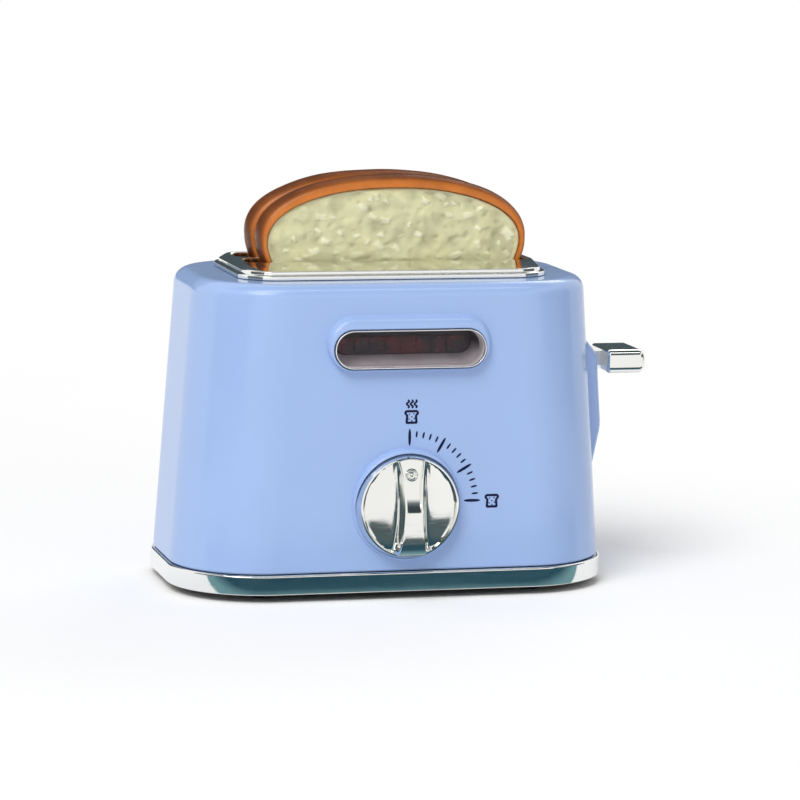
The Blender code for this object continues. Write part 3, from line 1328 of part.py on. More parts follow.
def make_shaft_group():
    knob = make_knob()
    front = KNOB_BASE_Y - KNOB_SOCKET + GAP
    plate_back = PLATE_Y + PLATE_THICKNESS
    clip_y = plate_back + GAP
    back = clip_y + CLIP_THICKNESS + GAP
    shaft = cylinder("knob_shaft", SHAFT_RADIUS, (0.0, back, KNOB_Z), "-Y", back - front, DARK, SMALL_STEPS)
    bore = circle(SHAFT_RADIUS + GAP, (0.0, KNOB_Z), SMALL_STEPS)
    teeth = []
    for i in range(2 * WHEEL_TEETH):
        angle = math.pi * i / WHEEL_TEETH
        radius = WHEEL_RADIUS - (WHEEL_TOOTH if i % 2 else 0.0)
        teeth.append((radius * math.cos(angle), KNOB_Z + radius * math.sin(angle)))
    wheel = plate("click_wheel", [teeth, bore], "Y", WHEEL_Y, WHEEL_Y + WHEEL_THICKNESS, PALE)
    cam = plate("release_cam", [cam_outline(), bore], "Y", CAM_Y, CAM_Y + CAM_THICKNESS, PALE)
    clip = plate("shaft_clip", [circle(CLIP_RADIUS, (0.0, KNOB_Z), SMALL_STEPS), bore], "Y", clip_y,
                 clip_y + CLIP_THICKNESS, STEEL)
    carry(pivot("knob_axis", (0.0, KNOB_BASE_Y, KNOB_Z)), [knob, shaft, wheel, cam, clip])


def cam_outline():
    """Full radius below the shaft at rest, falling evenly over the quarter turn that the knob makes."""
    points = []
    steps = 40
    for i in range(steps):
        turn = 2 * math.pi * i / steps
        quarter = turn / (math.pi / 2)
        if quarter <= 1:
            radius = CAM_RADIUS - CAM_FALL * quarter
        elif quarter < 3:
            radius = CAM_RADIUS - CAM_FALL
        else:
            radius = CAM_RADIUS - CAM_FALL * (QUARTERS - quarter)
        angle = turn - math.pi / 2
        points.append((radius * math.cos(angle), KNOB_Z + radius * math.sin(angle)))
    return points


def make_mechanism_plate():
    """An upright plate that carries the shaft's end, the latch pin and the click spring's post."""
    low = BASE_THICKNESS + GAP
    top = KNOB_Z + PLATE_TOP
    outline = [(-PLATE_LEFT, low), (PLATE_RIGHT, low), (PLATE_RIGHT, LATCH_PIVOT_Z + LATCH_BAR + PLATE_FOOT),
               (PLATE_LEFT, top), (-PLATE_LEFT, top)]
    shaft_hole = circle(SHAFT_RADIUS + SLIDE_GAP, (0.0, KNOB_Z), SMALL_STEPS)
    pin_hole = circle(PIN_RADIUS + GAP, (LATCH_PIVOT_X, LATCH_PIVOT_Z), SMALL_STEPS)
    made = plate("mechanism_plate", [outline, shaft_hole, pin_hole], "Y",
                 PLATE_Y, PLATE_Y + PLATE_THICKNESS, PALE)
    join(made, box("plate_foot", (-PLATE_LEFT, PLATE_Y + PLATE_THICKNESS / 2, low),
                   (PLATE_RIGHT, PLATE_Y + PLATE_THICKNESS + PLATE_FOOT, low + PLATE_THICKNESS)))
    spring_z = KNOB_Z + WHEEL_RADIUS + GAP + CLICK_THICKNESS
    join(made, box("click_post", (-CLICK_LENGTH, WHEEL_Y, spring_z + GAP),
                   (-CLICK_LENGTH + CLICK_POST, PLATE_Y + PLATE_THICKNESS / 2, top)))
    return made


def make_click_spring():
    z = KNOB_Z + WHEEL_RADIUS + GAP
    tip = WHEEL_RADIUS / 4
    return box("click_spring", (-CLICK_LENGTH, WHEEL_Y, z),
               (tip, WHEEL_Y + WHEEL_THICKNESS, z + CLICK_THICKNESS), STEEL)


# Latch

TAB_DOWN_TOP = HUB_Z1 - TAB_DROP - TRAVEL


def make_latch():
    """A rocker: its tail lies under the cam, and its nose catches the carriage's tab when it swings over."""
    tip_x = HUB_X0 - LATCH_REACH
    reach_x = tip_x - LATCH_PIVOT_X
    drop = reach_x * math.sin(LATCH_SWING) + (TAB_DOWN_TOP - LATCH_PIVOT_Z) * (1 - math.cos(LATCH_SWING))
    nose_z = TAB_DOWN_TOP + GAP + drop
    nose_top = nose_z + LATCH_NOSE
    low = LATCH_PIVOT_Z - LATCH_BAR / 2
    high = LATCH_PIVOT_Z + LATCH_BAR / 2
    arm_right = tip_x - (nose_z - LATCH_PIVOT_Z) * math.sin(LATCH_SWING)
    arm_left = arm_right - LATCH_ARM
    pad_top = KNOB_Z - CAM_RADIUS - CAM_GAP
    outline = [
        (-LATCH_TAIL_END, low), (arm_right, low), (arm_right, nose_z), (tip_x, nose_z),
        (tip_x, nose_z + LATCH_BAR / 4), (arm_right, nose_top), (arm_left, nose_top),
        (arm_left, high), (LATCH_PAD, high), (LATCH_PAD / 2, pad_top),
        (-LATCH_PAD / 2, pad_top), (-LATCH_TAIL_END, high),
    ]
    hole = circle(PIN_RADIUS + GAP, (LATCH_PIVOT_X, LATCH_PIVOT_Z), SMALL_STEPS)
    latch = plate("latch", [outline, hole], "Y", CAM_Y, CAM_Y + CAM_THICKNESS, PALE)
    carry(pivot("latch_axis", (LATCH_PIVOT_X, CAM_Y, LATCH_PIVOT_Z)), [latch])


def make_latch_pin_and_spring():
    spring_length = LATCH_SPRING_PITCH * LATCH_SPRING_CURLS
    spring_back = CAM_Y - GAP - LATCH_SPRING_WIRE / 2
    head_y = spring_back - spring_length - LATCH_SPRING_WIRE / 2 - GAP
    back = PLATE_Y + PLATE_THICKNESS
    length = back - head_y
    turned("latch_pin", [
        (0.0, length + PIN_HEAD_HEIGHT),
        (PIN_HEAD_RADIUS, length + PIN_HEAD_HEIGHT),
        (PIN_HEAD_RADIUS, length),
        (PIN_RADIUS, length),
        (PIN_RADIUS, 0.0),
        (0.0, 0.0),
    ], (LATCH_PIVOT_X, back, LATCH_PIVOT_Z), "-Y", STEEL, steps=SMALL_STEPS)
    centre = Vector((LATCH_PIVOT_X, spring_back, LATCH_PIVOT_Z))
    count = LATCH_SPRING_CURLS * COIL_POINTS
    coil = []
    for i in range(count + 1):
        angle = 2 * math.pi * i / COIL_POINTS - math.pi / 2
        coil.append(centre + Vector((LATCH_SPRING_RADIUS * math.cos(angle), -spring_length * i / count,
                                     LATCH_SPRING_RADIUS * math.sin(angle))))
    leg_start = coil[0] + Vector((-LATCH_SPRING_LEG, 0.0, 0.0))
    leg_end = coil[-1] + Vector((LATCH_SPRING_LEG / 2, 0.0, 0.0))
    points = [leg_start] + coil + [leg_end]
    tube("latch_spring", points, LATCH_SPRING_WIRE / 2, STEEL, resolution=1)
    report_coil_gap("latch_spring", coil, LATCH_SPRING_WIRE)


# Wires: hand-chosen routes inside the casing

def smooth_route(points, steps):
    """A smooth curve through chosen points, as evenly placed points on it."""
    route = [Vector(point) for point in points]
    ends = [2 * route[0] - route[1]] + route + [2 * route[-1] - route[-2]]
    result = []
    for a, b, c, d in zip(ends, ends[1:], ends[2:], ends[3:]):
        for i in range(steps):
            t = i / steps
            result.append(((2 * b) + (c - a) * t + (2 * a - 5 * b + 4 * c - d) * t * t
                           + (3 * b - a - 3 * c + d) * t * t * t) / 2)
    result.append(route[-1])
    return result


def make_wires():
    lift = BASE_THICKNESS + WIRE_LIFT + WIRE_RADIUS
    contact = BAY_OUTER_X + GAP + WIRE_RADIUS
    board_z = WINDOW_Z - BOARD_HEIGHT / 4
    board_back = BOARD_Y + BOARD_THICKNESS + GAP + WIRE_RADIUS
    behind = (PLATE_Y + PLATE_THICKNESS - WELL_OUTER_Y) / 2
    column = BOARD_LENGTH * 3 / 4
    red = [(contact, -CELL_Y, CELL_Z), (column, -CELL_Y - SLOT_CORNER, CELL_Z - SLOT_CORNER),
           (column, -BAY_OUTER_Y, CELL_Z - SLOT_CORNER), (column, behind, CELL_Z + SLOT_CORNER),
           (column, behind, KNOB_Z),
           (column, behind, board_z - BOARD_HEIGHT), (BOARD_LENGTH / 3, board_back, board_z)]
    tube("wire_red", smooth_route(red, 3), WIRE_RADIUS, WIRE_RED)
    strip_y = TOWER_WIDTH / 2 + TOWER_SIDE_GAP + STRIP_THICKNESS + GAP + WIRE_RADIUS
    step = DOOR_TONGUE
    black = [(contact, CELL_Y, CELL_Z), (contact + step / 2, CELL_Y + step / 2, CELL_Z / 2),
             (contact + 2 * step, CELL_Y + step / 2, lift), (TOWER_X - 2 * strip_y, CELL_Y, lift),
             (TOWER_X - TOWER_WIDTH, strip_y + OVERRUN, lift), (TOWER_X, strip_y, lift)]
    tube("wire_black", smooth_route(black, 3), WIRE_RADIUS, WIRE_BLACK)
    front = WHEEL_Y + WIRE_RADIUS
    white = [(TOWER_X, -strip_y, lift), (TOWER_X - TOWER_WIDTH, -strip_y - OVERRUN, lift),
             (WELL_OUTER_X, -WELL_OUTER_Y, lift), (WELL_OUTER_X, PLATE_Y, lift),
             (PLATE_RIGHT, front, CELL_Z / 2 + lift), (LATCH_PIVOT_X - step, front, KNOB_Z),
             (LATCH_PIVOT_X - step, front, board_z - 2 * BOARD_HEIGHT),
             (BOARD_LENGTH * 2 / 3, front, board_z - BOARD_HEIGHT / 2),
             (BOARD_LENGTH / 2 + 2 * WIRE_RADIUS, BOARD_Y + BOARD_THICKNESS, board_z)]
    tube("wire_white", smooth_route(white, 3), WIRE_RADIUS, WIRE_WHITE)


def build():
    make_shell()
    make_base_plate()
    make_plinth()
    make_feet()
    make_screws()
    make_battery_door()
    make_cells()
    make_contacts()
    make_switch_strips()
    make_slot_frame()
    make_bread_well()
    make_slice("front", -1)
    make_slice("rear", 1)
    make_carriage()
    make_rods_and_springs()
    make_window()
    make_lamps()
    make_shaft_group()
    make_mechanism_plate()
    make_click_spring()
    make_latch()
    make_latch_pin_and_spring()
    make_wires()


build()
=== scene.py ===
"""How the toy toaster looks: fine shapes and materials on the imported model, with floor, lamps and camera.

Metres, +Z up. X runs to the right seen from the front, Y to the back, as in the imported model.
"""
import json
import math
import bmesh
import bpy
from mathutils import Matrix, Vector, noise

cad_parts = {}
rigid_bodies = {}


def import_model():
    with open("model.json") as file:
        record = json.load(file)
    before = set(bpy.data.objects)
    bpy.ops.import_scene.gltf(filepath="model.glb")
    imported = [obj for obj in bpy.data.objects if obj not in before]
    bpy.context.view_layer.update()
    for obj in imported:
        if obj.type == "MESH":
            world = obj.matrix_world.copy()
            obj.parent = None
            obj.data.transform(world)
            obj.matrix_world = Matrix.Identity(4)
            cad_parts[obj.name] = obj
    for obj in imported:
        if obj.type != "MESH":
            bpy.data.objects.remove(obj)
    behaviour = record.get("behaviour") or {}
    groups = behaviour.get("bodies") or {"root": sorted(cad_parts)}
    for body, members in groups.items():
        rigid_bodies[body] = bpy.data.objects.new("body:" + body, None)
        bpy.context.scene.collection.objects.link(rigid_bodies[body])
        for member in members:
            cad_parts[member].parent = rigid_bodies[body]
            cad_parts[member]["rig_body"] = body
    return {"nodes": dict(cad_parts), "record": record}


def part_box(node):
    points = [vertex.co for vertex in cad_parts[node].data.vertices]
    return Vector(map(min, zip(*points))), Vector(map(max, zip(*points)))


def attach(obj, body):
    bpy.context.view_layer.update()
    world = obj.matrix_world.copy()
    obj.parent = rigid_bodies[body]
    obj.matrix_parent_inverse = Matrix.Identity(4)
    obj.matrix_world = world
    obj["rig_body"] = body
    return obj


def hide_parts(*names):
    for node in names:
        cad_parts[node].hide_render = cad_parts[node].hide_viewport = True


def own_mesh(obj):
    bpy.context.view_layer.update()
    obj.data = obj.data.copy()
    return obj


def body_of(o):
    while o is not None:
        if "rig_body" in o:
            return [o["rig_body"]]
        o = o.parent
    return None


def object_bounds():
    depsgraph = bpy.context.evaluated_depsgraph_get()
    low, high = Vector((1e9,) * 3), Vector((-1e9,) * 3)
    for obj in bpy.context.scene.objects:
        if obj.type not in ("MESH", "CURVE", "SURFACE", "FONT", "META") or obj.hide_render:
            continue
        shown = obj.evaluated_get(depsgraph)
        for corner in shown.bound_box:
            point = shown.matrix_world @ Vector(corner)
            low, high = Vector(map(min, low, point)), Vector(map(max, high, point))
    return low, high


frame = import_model()
CAD_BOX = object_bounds()

MM = 0.001


def low_high(box):
    """A box's lowest and highest corner."""
    return [Vector(corner) for corner in box]


# Clearances and finenesses
GAP = 0.3 * MM
SUNK = 0.4 * MM            # how far a form reaches into the one that carries it
OVERRUN = 2.0 * MM
CORNER_STEPS = 24
PILL_STEPS = 32
SHARP = math.radians(32.0)  # edges over this angle stay sharp

# Casing, with the sizes that its node's box doesn't give
END_LEAN = 7.6 * MM
CORNER_RADIUS = 33.0 * MM
TOP_EDGE_RADIUS = 5.0 * MM
LOWER_EDGE_RADIUS = 0.6 * MM
SHELL_WALL = 2.2 * MM
OPENING_LAP = 2.5 * MM     # of the slot frame over the opening in the casing
OPENING_CORNER = 1.5 * MM
SHELL_LOW, SHELL_HIGH = low_high(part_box("main_shell"))
PLINTH_LOW, PLINTH_HIGH = low_high(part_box("plinth"))
FRAME_LOW, FRAME_HIGH = low_high(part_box("slot_frame"))
WELL_HIGH = Vector(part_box("bread_well")[1])
BODY_BOTTOM = PLINTH_HIGH.z + GAP
BODY_TOP = SHELL_HIGH.z
HALF_BASE = -SHELL_LOW.x
HALF_TOP = HALF_BASE - END_LEAN
HALF_DEPTH = SHELL_HIGH.y
FRONT_FACE = -HALF_DEPTH
FRONT_INSIDE = FRONT_FACE + SHELL_WALL

# Lever housing and lever
LEVER_LOW, LEVER_HIGH = low_high(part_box("lever_knob"))
ARM_LOW, ARM_HIGH = low_high(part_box("lever_arm"))
SLIDE_GAP = 0.4 * MM
TRAVEL = 34.5 * MM
HOUSING_WIDTH = 26.0 * MM
HOUSING_REACH = 6.3 * MM
HOUSING_DROP = 25.5 * MM
HOUSING_SHOULDER = 6.0 * MM
HOUSING_KNEE = 54.0 * MM
HOUSING_FOOT = 31.0 * MM
HOUSING_EDGE = 2.4 * MM
LEVER_EDGE = 2.8 * MM
LEVER_SLOT_SHARE = 0.6     # of half its width, the radius of the slot's corners

# Window
BEZEL_LOW, BEZEL_HIGH = low_high(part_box("window_bezel"))
LENS_LOW, LENS_HIGH = low_high(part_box("window_lens"))
TRAY_LOW, TRAY_HIGH = low_high(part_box("window_tray"))
BEZEL_FLANGE = 1.8 * MM
BEZEL_SEEN = 0.45 * MM     # width of its bright front edge
BEZEL_EDGE = BEZEL_SEEN * 0.4
LENS_LEDGE = 0.25 * MM     # that the lens rests on
LENS_EDGE = 0.15 * MM
BOSS_HEIGHT = 3.0 * MM
BOSS_SIDES = 2.4 * MM
BOSS_BELOW = 1.4 * MM
BOSS_ABOVE = 5.0 * MM
BOSS_EDGE = 0.4 * MM
HOOD_SHARES = ((1.05, 0.0), (1.0, 0.05), (0.97, 0.13), (0.9, 0.33), (0.8, 0.52), (0.65, 0.71), (0.5, 0.84),
               (0.33, 0.93), (0.16, 0.98), (0.0, 1.0))   # share of the margin outwards, share of the height
TRAY_WALL = 1.2 * MM
TRAY_DRAFT = 1.6 * MM
TRAY_SILL = 3.2 * MM       # how far its lower wall rises towards the back
SHADE_DEPTHS = (2.4 * MM, 1.5 * MM)    # from its back, where it gets dark
SHADE_HEIGHTS = (-3.0 * MM, 1.5 * MM)  # about the window's middle, where it gets dark
WINDOW_Z = (BEZEL_LOW.z + BEZEL_HIGH.z) / 2
WINDOW_HALF_LENGTH = BEZEL_HIGH.x - BEZEL_FLANGE
WINDOW_HALF_HEIGHT = (BEZEL_HIGH.z - BEZEL_LOW.z) / 2 - BEZEL_FLANGE

# Knob
KNOB_LOW, KNOB_HIGH = low_high(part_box("knob"))
KNOB_RADIUS = KNOB_HIGH.x
KNOB_Z = (KNOB_LOW.z + KNOB_HIGH.z) / 2
KNOB_BASE_Y = KNOB_HIGH.y
KNOB_TOP = KNOB_BASE_Y - KNOB_LOW.y
FACE_RADIUS = KNOB_RADIUS - 0.9 * MM
RIM_DEPTH = 3.7 * MM
RIM_WIDTH = 0.6 * MM
RIM_ROUND = 0.35 * MM
SCOOP_DEPTH = 1.5 * MM
SCOOP_BULGE = 1.2 * MM
SCOOP_EDGE = 0.8 * MM
GRIP_END_HALF = 5.4 * MM
GRIP_WAIST_HALF = 3.4 * MM
GRIP_FLANK = 1.7 * MM
GRIP_FULLNESS = 10
GRIP_EDGE = 0.35 * MM
FACE_EDGE = 0.15 * MM
POINTER_RIDGE = 0.55 * MM
RIDGE_SLOPE = 0.12 * MM    # half the width of the step from the pointer's flat to its ridge
POINTER_DEPTH = 0.75 * MM  # at the rim
CREST_FULLNESS = 1.6       # exponent of the fall of its two ridges
POINTER_START = -1.2 * MM
POINTER_SLOPE = 6.2 * MM
POINTER_FLOOR = 3.4 * MM   # of the pointer's flat over the rim, where its recess ends
DIMPLE_RISE = 12.2 * MM
DIMPLE_RADIUS = 2.1 * MM
DIMPLE_PITCH = 0.5 * MM    # from its inner ring to its outer one
DIMPLE_BEAD = 0.3 * MM
DIMPLE_STRETCH = 2.0       # how much higher than round its rings are
DIMPLE_DOME = ((0.0, 0.75 * MM), (0.5 * MM, 0.5 * MM), (0.8 * MM, 0.06 * MM), (1.15 * MM, 0.02 * MM))
COLLAR_SIDES = 0.9 * MM
COLLAR_BELOW = 0.6 * MM
COLLAR_ABOVE = 1.8 * MM
COLLAR_PROUD = 1.2 * MM
COLLAR_HOOD = 3.0 * MM     # height of its upper half
COLLAR_FLOOR = 1.05 * MM
COLLAR_STEPS = 160
SHAFT_HOLE = 3.3 * MM
KNOB_HOLE = SHAFT_HOLE * 1.3
BACK_EDGE = 0.1 * MM
KNOB_ROWS = 120
SHORTEST_ROW = 0.02 * MM
SCOOP_STEPS = 18
CHORD_SHARE = 0.98         # of the face's width at a height, what the grip takes at most
RIDGE_SHARE = 0.4          # of half the grip, what its ridge takes at most

DRESSING = bpy.data.collections.new("dressing")
bpy.context.scene.collection.children.link(DRESSING)


# Materials

def linear(value):
    share = value / 255.0
    if share <= 0.04045:
        return share / 12.92
    return ((share + 0.055) / 1.055) ** 2.4


def tint(red, green, blue):
    """A colour from its screen values, each from 0 to 255."""
    return (linear(red), linear(green), linear(blue), 1.0)


def shaded(colour, factor):
    return (*(min(1.0, channel * factor) for channel in colour[:3]), 1.0)


def feed(node, values):
    """Sets a node's inputs, by name or number, to plain values or to other nodes' outputs."""
    for key, value in values.items():
        if isinstance(value, bpy.types.NodeSocket):
            node.id_data.links.new(value, node.inputs[key])
        else:
            node.inputs[key].default_value = value
    return node


def combined(operation, first, second):
    """One number from two nodes' outputs."""
    node = first.id_data.nodes.new("ShaderNodeMath")
    node.operation = operation
    return feed(node, {0: first, 1: second}).outputs["Value"]


MIX_FIRST, MIX_SECOND = 6, 7   # numbers of the Mix node's colour inputs
MIX_RESULT = 2


class Finish:
    """A material whose nodes are made one after another."""

    def __init__(self, name, roughness, metallic=0.0):
        self.material = bpy.data.materials.new(name)
        self.material.use_nodes = True
        self.tree = self.material.node_tree
        self.shader = self.tree.nodes["Principled BSDF"]
        self.set({"Roughness": roughness, "Metallic": metallic})
        self.place = self.node("ShaderNodeTexCoord").outputs["Object"]

    def node(self, kind, values=None, **settings):
        """A new node with its inputs and other settings."""
        made = self.tree.nodes.new(kind)
        for name, value in settings.items():
            setattr(made, name, value)
        return feed(made, values or {})

    def set(self, values):
        feed(self.shader, values)

    def surface(self, output):
        feed(self.tree.nodes["Material Output"], {"Surface": output})

    def noise(self, size, detail=2.0, stretch=(1.0, 1.0, 1.0)):
        """Noise with patches of a size in metres, drawn out along the axes where stretch is over 1."""
        scale = tuple(1.0 / part for part in stretch)
        place = self.node("ShaderNodeMapping", {"Vector": self.place, "Scale": scale}).outputs["Vector"]
        return self.node("ShaderNodeTexNoise", {"Vector": place, "Scale": 1.0 / size,
                                                "Detail": detail}).outputs["Fac"]

    def cells(self, size, smoothness=0.4):
        node = self.node("ShaderNodeTexVoronoi", {"Vector": self.place, "Scale": 1.0 / size,
                                                  "Smoothness": smoothness}, feature="SMOOTH_F1")
        return node.outputs["Distance"]

    def attribute(self, name):
        return self.node("ShaderNodeAttribute", attribute_name=name).outputs["Fac"]

    def ranged(self, source, low, high, to_low=0.0, to_high=1.0):
        return self.node("ShaderNodeMapRange", {"Value": source, "From Min": low, "From Max": high,
                                                "To Min": to_low, "To Max": to_high}).outputs["Result"]

    def along(self, axis, low, high):
        """From 0 to 1 between two places along an axis of the piece."""
        split = self.node("ShaderNodeSeparateXYZ", {"Vector": self.place})
        return self.ranged(split.outputs[axis], low, high)

    def ramp(self, source, *stops):
        """Colours along a source: each stop is its place and its colour."""
        node = self.node("ShaderNodeValToRGB", {"Fac": source})
        elements = node.color_ramp.elements
        while len(elements) < len(stops):
            elements.new(0.5)
        for element, (place, colour) in zip(elements, stops):
            element.position = place
            element.color = colour
        return node.outputs["Color"]

    def shades(self, source, colour, *stops):
        """Shades of one colour: each stop is its place and how bright the colour is there."""
        return self.ramp(source, *((place, shaded(colour, bright)) for place, bright in stops))

    def mix(self, share, first, second):
        """Mixes two colours, each a colour or another node's output."""
        return self.node("ShaderNodeMix", {"Factor": share, MIX_FIRST: first, MIX_SECOND: second},
                         data_type="RGBA").outputs[MIX_RESULT]

    def colour(self, source):
        self.set({"Base Color": source})

    def rough(self, source, low, high, rough_low, rough_high):
        """Roughness that follows a source between two of its values."""
        self.set({"Roughness": self.ranged(source, low, high, rough_low, rough_high)})

    def bump(self, source, depth):
        node = self.node("ShaderNodeBump", {"Height": source, "Distance": depth, "Strength": 1.0})
        self.set({"Normal": node.outputs["Normal"]})


def plastic(name, colour, roughness, depth=0.01 * MM, mottle=0.03,
            patch=28.0 * MM, gloss=9.0 * MM, grain=1.2 * MM):
    """Moulded plastic: faint mottling, a fine skin and uneven gloss."""
    finish = Finish(name, roughness)
    finish.colour(finish.shades(finish.noise(patch), colour, (0.3, 1.0 - mottle), (0.7, 1.0 + mottle)))
    finish.rough(finish.noise(gloss, 3.0), 0.3, 0.7, roughness * 0.85, roughness * 1.2)
    finish.bump(finish.noise(grain), depth)
    return finish.material


RUBBED = 0.8 * MM              # size of the marks on chrome
RUBBED_STRETCH = (9.0, 1.0, 1.0)


def plated(name, colour, roughness, depth=0.05 * MM, patch=40.0 * MM, ripple=9.0 * MM):
    """Chromed plastic: a slightly rippled mirror with fine rubbed marks."""
    finish = Finish(name, roughness, metallic=1.0)
    finish.colour(finish.shades(finish.noise(patch, 1.0), colour, (0.3, 0.97), (0.7, 1.02)))
    finish.rough(finish.noise(RUBBED, 4.0, RUBBED_STRETCH), 0.45, 0.75, roughness, roughness * 2.0)
    finish.bump(finish.noise(ripple, 1.0), depth)
    return finish.material


def bezel_finish(fade=0.1 * MM):
    """Bright chrome in front of the lens, pale plastic behind it."""
    finish = Finish("bezel_chrome", 0.18, metallic=1.0)
    behind = finish.along("Y", LENS_LOW.y, LENS_LOW.y + fade)
    marks = finish.noise(RUBBED, 4.0, RUBBED_STRETCH)
    front = finish.ramp(marks, (0.3, tint(246, 246, 248)), (0.7, tint(253, 253, 254)))
    pale = finish.ramp(marks, (0.3, tint(226, 216, 222)), (0.7, tint(240, 232, 236)))
    finish.colour(finish.mix(behind, front, pale))
    finish.set({"Metallic": finish.ranged(behind, 0.0, 1.0, 1.0, 0.0)})
    finish.rough(behind, 0.0, 1.0, 0.18, 0.5)
    return finish.material


def wire_metal(name, colour, roughness, depth=0.01 * MM, patch=3.0 * MM, line=0.4 * MM):
    """Drawn or stamped metal: fine lines and small tarnished patches."""
    finish = Finish(name, roughness, metallic=1.0)
    finish.colour(finish.shades(finish.noise(patch, 4.0), colour, (0.35, 0.8), (0.6, 1.05)))
    lines = finish.noise(line, stretch=(1.0, 1.0, 8.0))
    finish.rough(lines, 0.3, 0.7, roughness * 0.8, roughness * 1.4)
    finish.bump(lines, depth)
    return finish.material


def rubber(name, colour, depth=0.05 * MM, dust=2.5 * MM, grain=0.5 * MM):
    finish = Finish(name, 0.75)
    finish.colour(finish.shades(finish.noise(dust, 5.0), colour, (0.4, 1.0), (0.75, 1.9)))
    finish.bump(finish.noise(grain), depth)
    return finish.material


def crumb_finish(depth=0.06 * MM, patch=16.0 * MM, cell=1.6 * MM):
    """Moulded crumb: pale greenish cream with painted light and shade: painted highlights on its lumps and
    chips and painted shade in its pits.
    """
    finish = Finish("slice_crumb", 0.34)
    lump = finish.attribute("lump")
    # Painted light and shade: the colour follows the relief's height, darker down in the pits and lighter up
    # on the lumps.
    tones = finish.shades(lump, tint(213, 210, 166), (0.15, 0.62), (0.45, 0.95), (0.85, 1.12))
    warm = finish.ranged(finish.noise(patch), 0.45, 0.75, 0.0, 0.35)
    warmed = finish.mix(warm, tones, tint(214, 203, 150))
    # Painted highlight: the raised chips are painted a near-white cream.
    finish.colour(finish.mix(finish.attribute("chip"), warmed, tint(236, 233, 200)))
    finish.rough(lump, 0.2, 0.9, 0.5, 0.24)
    finish.bump(finish.cells(cell), depth)
    return finish.material


def crust_finish(depth=0.05 * MM, patch=11.0 * MM, gloss=3.0 * MM, grain=1.1 * MM):
    """Moulded crust: glossy orange brown, darker brown where it faces outwards, partly its own colour and
    partly painted shade, and in patches.
    """
    finish = Finish("slice_crust", 0.3)
    side = finish.attribute("side")
    finish.set({"Specular IOR Level": finish.ranged(side, 0.2, 1.0, 0.35, 0.04)})
    patches = finish.noise(patch, 4.0)
    orange = finish.shades(patches, tint(206, 118, 46), (0.32, 0.8), (0.66, 1.08))
    brown = finish.shades(patches, tint(112, 62, 30), (0.32, 0.7), (0.66, 1.15))
    # The outward side's darker brown: partly the crust's own colour, partly painted shade.
    finish.colour(finish.mix(side, orange, brown))
    finish.rough(finish.noise(gloss, 3.0), 0.3, 0.7, 0.26, 0.42)
    finish.bump(finish.noise(grain, 4.0), depth)
    return finish.material


def tray_finish(depth=0.02 * MM, patch=6.0 * MM, grain=1.5 * MM):
    """Pale lower walls that fall into shade upwards and at the tray's back."""
    finish = Finish("tray_plastic", 0.35)
    inwards = finish.along("Y", *(TRAY_HIGH.y - distance for distance in SHADE_DEPTHS))
    upwards = finish.along("Z", *(WINDOW_Z + height for height in SHADE_HEIGHTS))
    mottled = finish.noise(patch, 3.0)
    pale = finish.ramp(mottled, (0.35, tint(232, 222, 228)), (0.65, tint(246, 238, 242)))
    dark = finish.ramp(mottled, (0.35, tint(46, 40, 48)), (0.65, tint(62, 54, 62)))
    finish.colour(finish.mix(combined("MAXIMUM", inwards, upwards), pale, dark))
    finish.bump(finish.noise(grain), depth)
    return finish.material


def smoked_lens(patch=12.0 * MM, gloss=2.0 * MM):
    """Dark clear plastic that shows what is behind it."""
    finish = Finish("smoked_lens", 0.06)
    finish.colour(finish.ramp(finish.noise(patch), (0.3, tint(30, 24, 30)), (0.7, tint(46, 38, 44))))
    finish.rough(finish.noise(gloss, 3.0), 0.3, 0.7, 0.04, 0.09)
    finish.set({"Alpha": 0.16})
    return finish.material


def clear_red(name, dull, colour, glow, patch=8.0 * MM, gloss=2.0 * MM):
    """Tinted clear plastic, dull in places, that a lamp behind lights a little."""
    finish = Finish(name, 0.25)
    finish.colour(finish.ramp(finish.noise(patch), (0.42, dull), (0.62, colour)))
    finish.rough(finish.noise(gloss, 3.0), 0.3, 0.7, 0.15, 0.3)
    finish.set({"Emission Color": colour, "Emission Strength": glow})
    return finish.material


def ink(name, colour, speck=0.35 * MM):
    """Pad print: thin ink that lets a little of the casing through."""
    finish = Finish(name, 0.4)
    finish.set({"Specular IOR Level": 0.15})
    finish.colour(finish.shades(finish.noise(speck, 3.0), colour, (0.3, 1.5), (0.45, 1.0)))
    return finish.material


def cell_wrap(patch=4.0 * MM):
    """A battery's plain wrap, with bare metal at its ends and one dark band."""
    finish = Finish("cell_wrap", 0.3)
    low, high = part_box("battery_front")
    steel, green, dark = tint(176, 178, 180), tint(70, 128, 84), tint(40, 44, 46)
    bands = finish.ramp(finish.along("X", low[0], high[0]),
                        (0.0, steel), (0.045, green), (0.69, dark), (0.93, steel))
    bands.node.color_ramp.interpolation = "CONSTANT"
    worn = finish.ranged(finish.noise(patch, 3.0), 0.55, 0.8, 0.0, 0.35)
    finish.colour(finish.mix(worn, bands, tint(150, 160, 152)))
    return finish.material


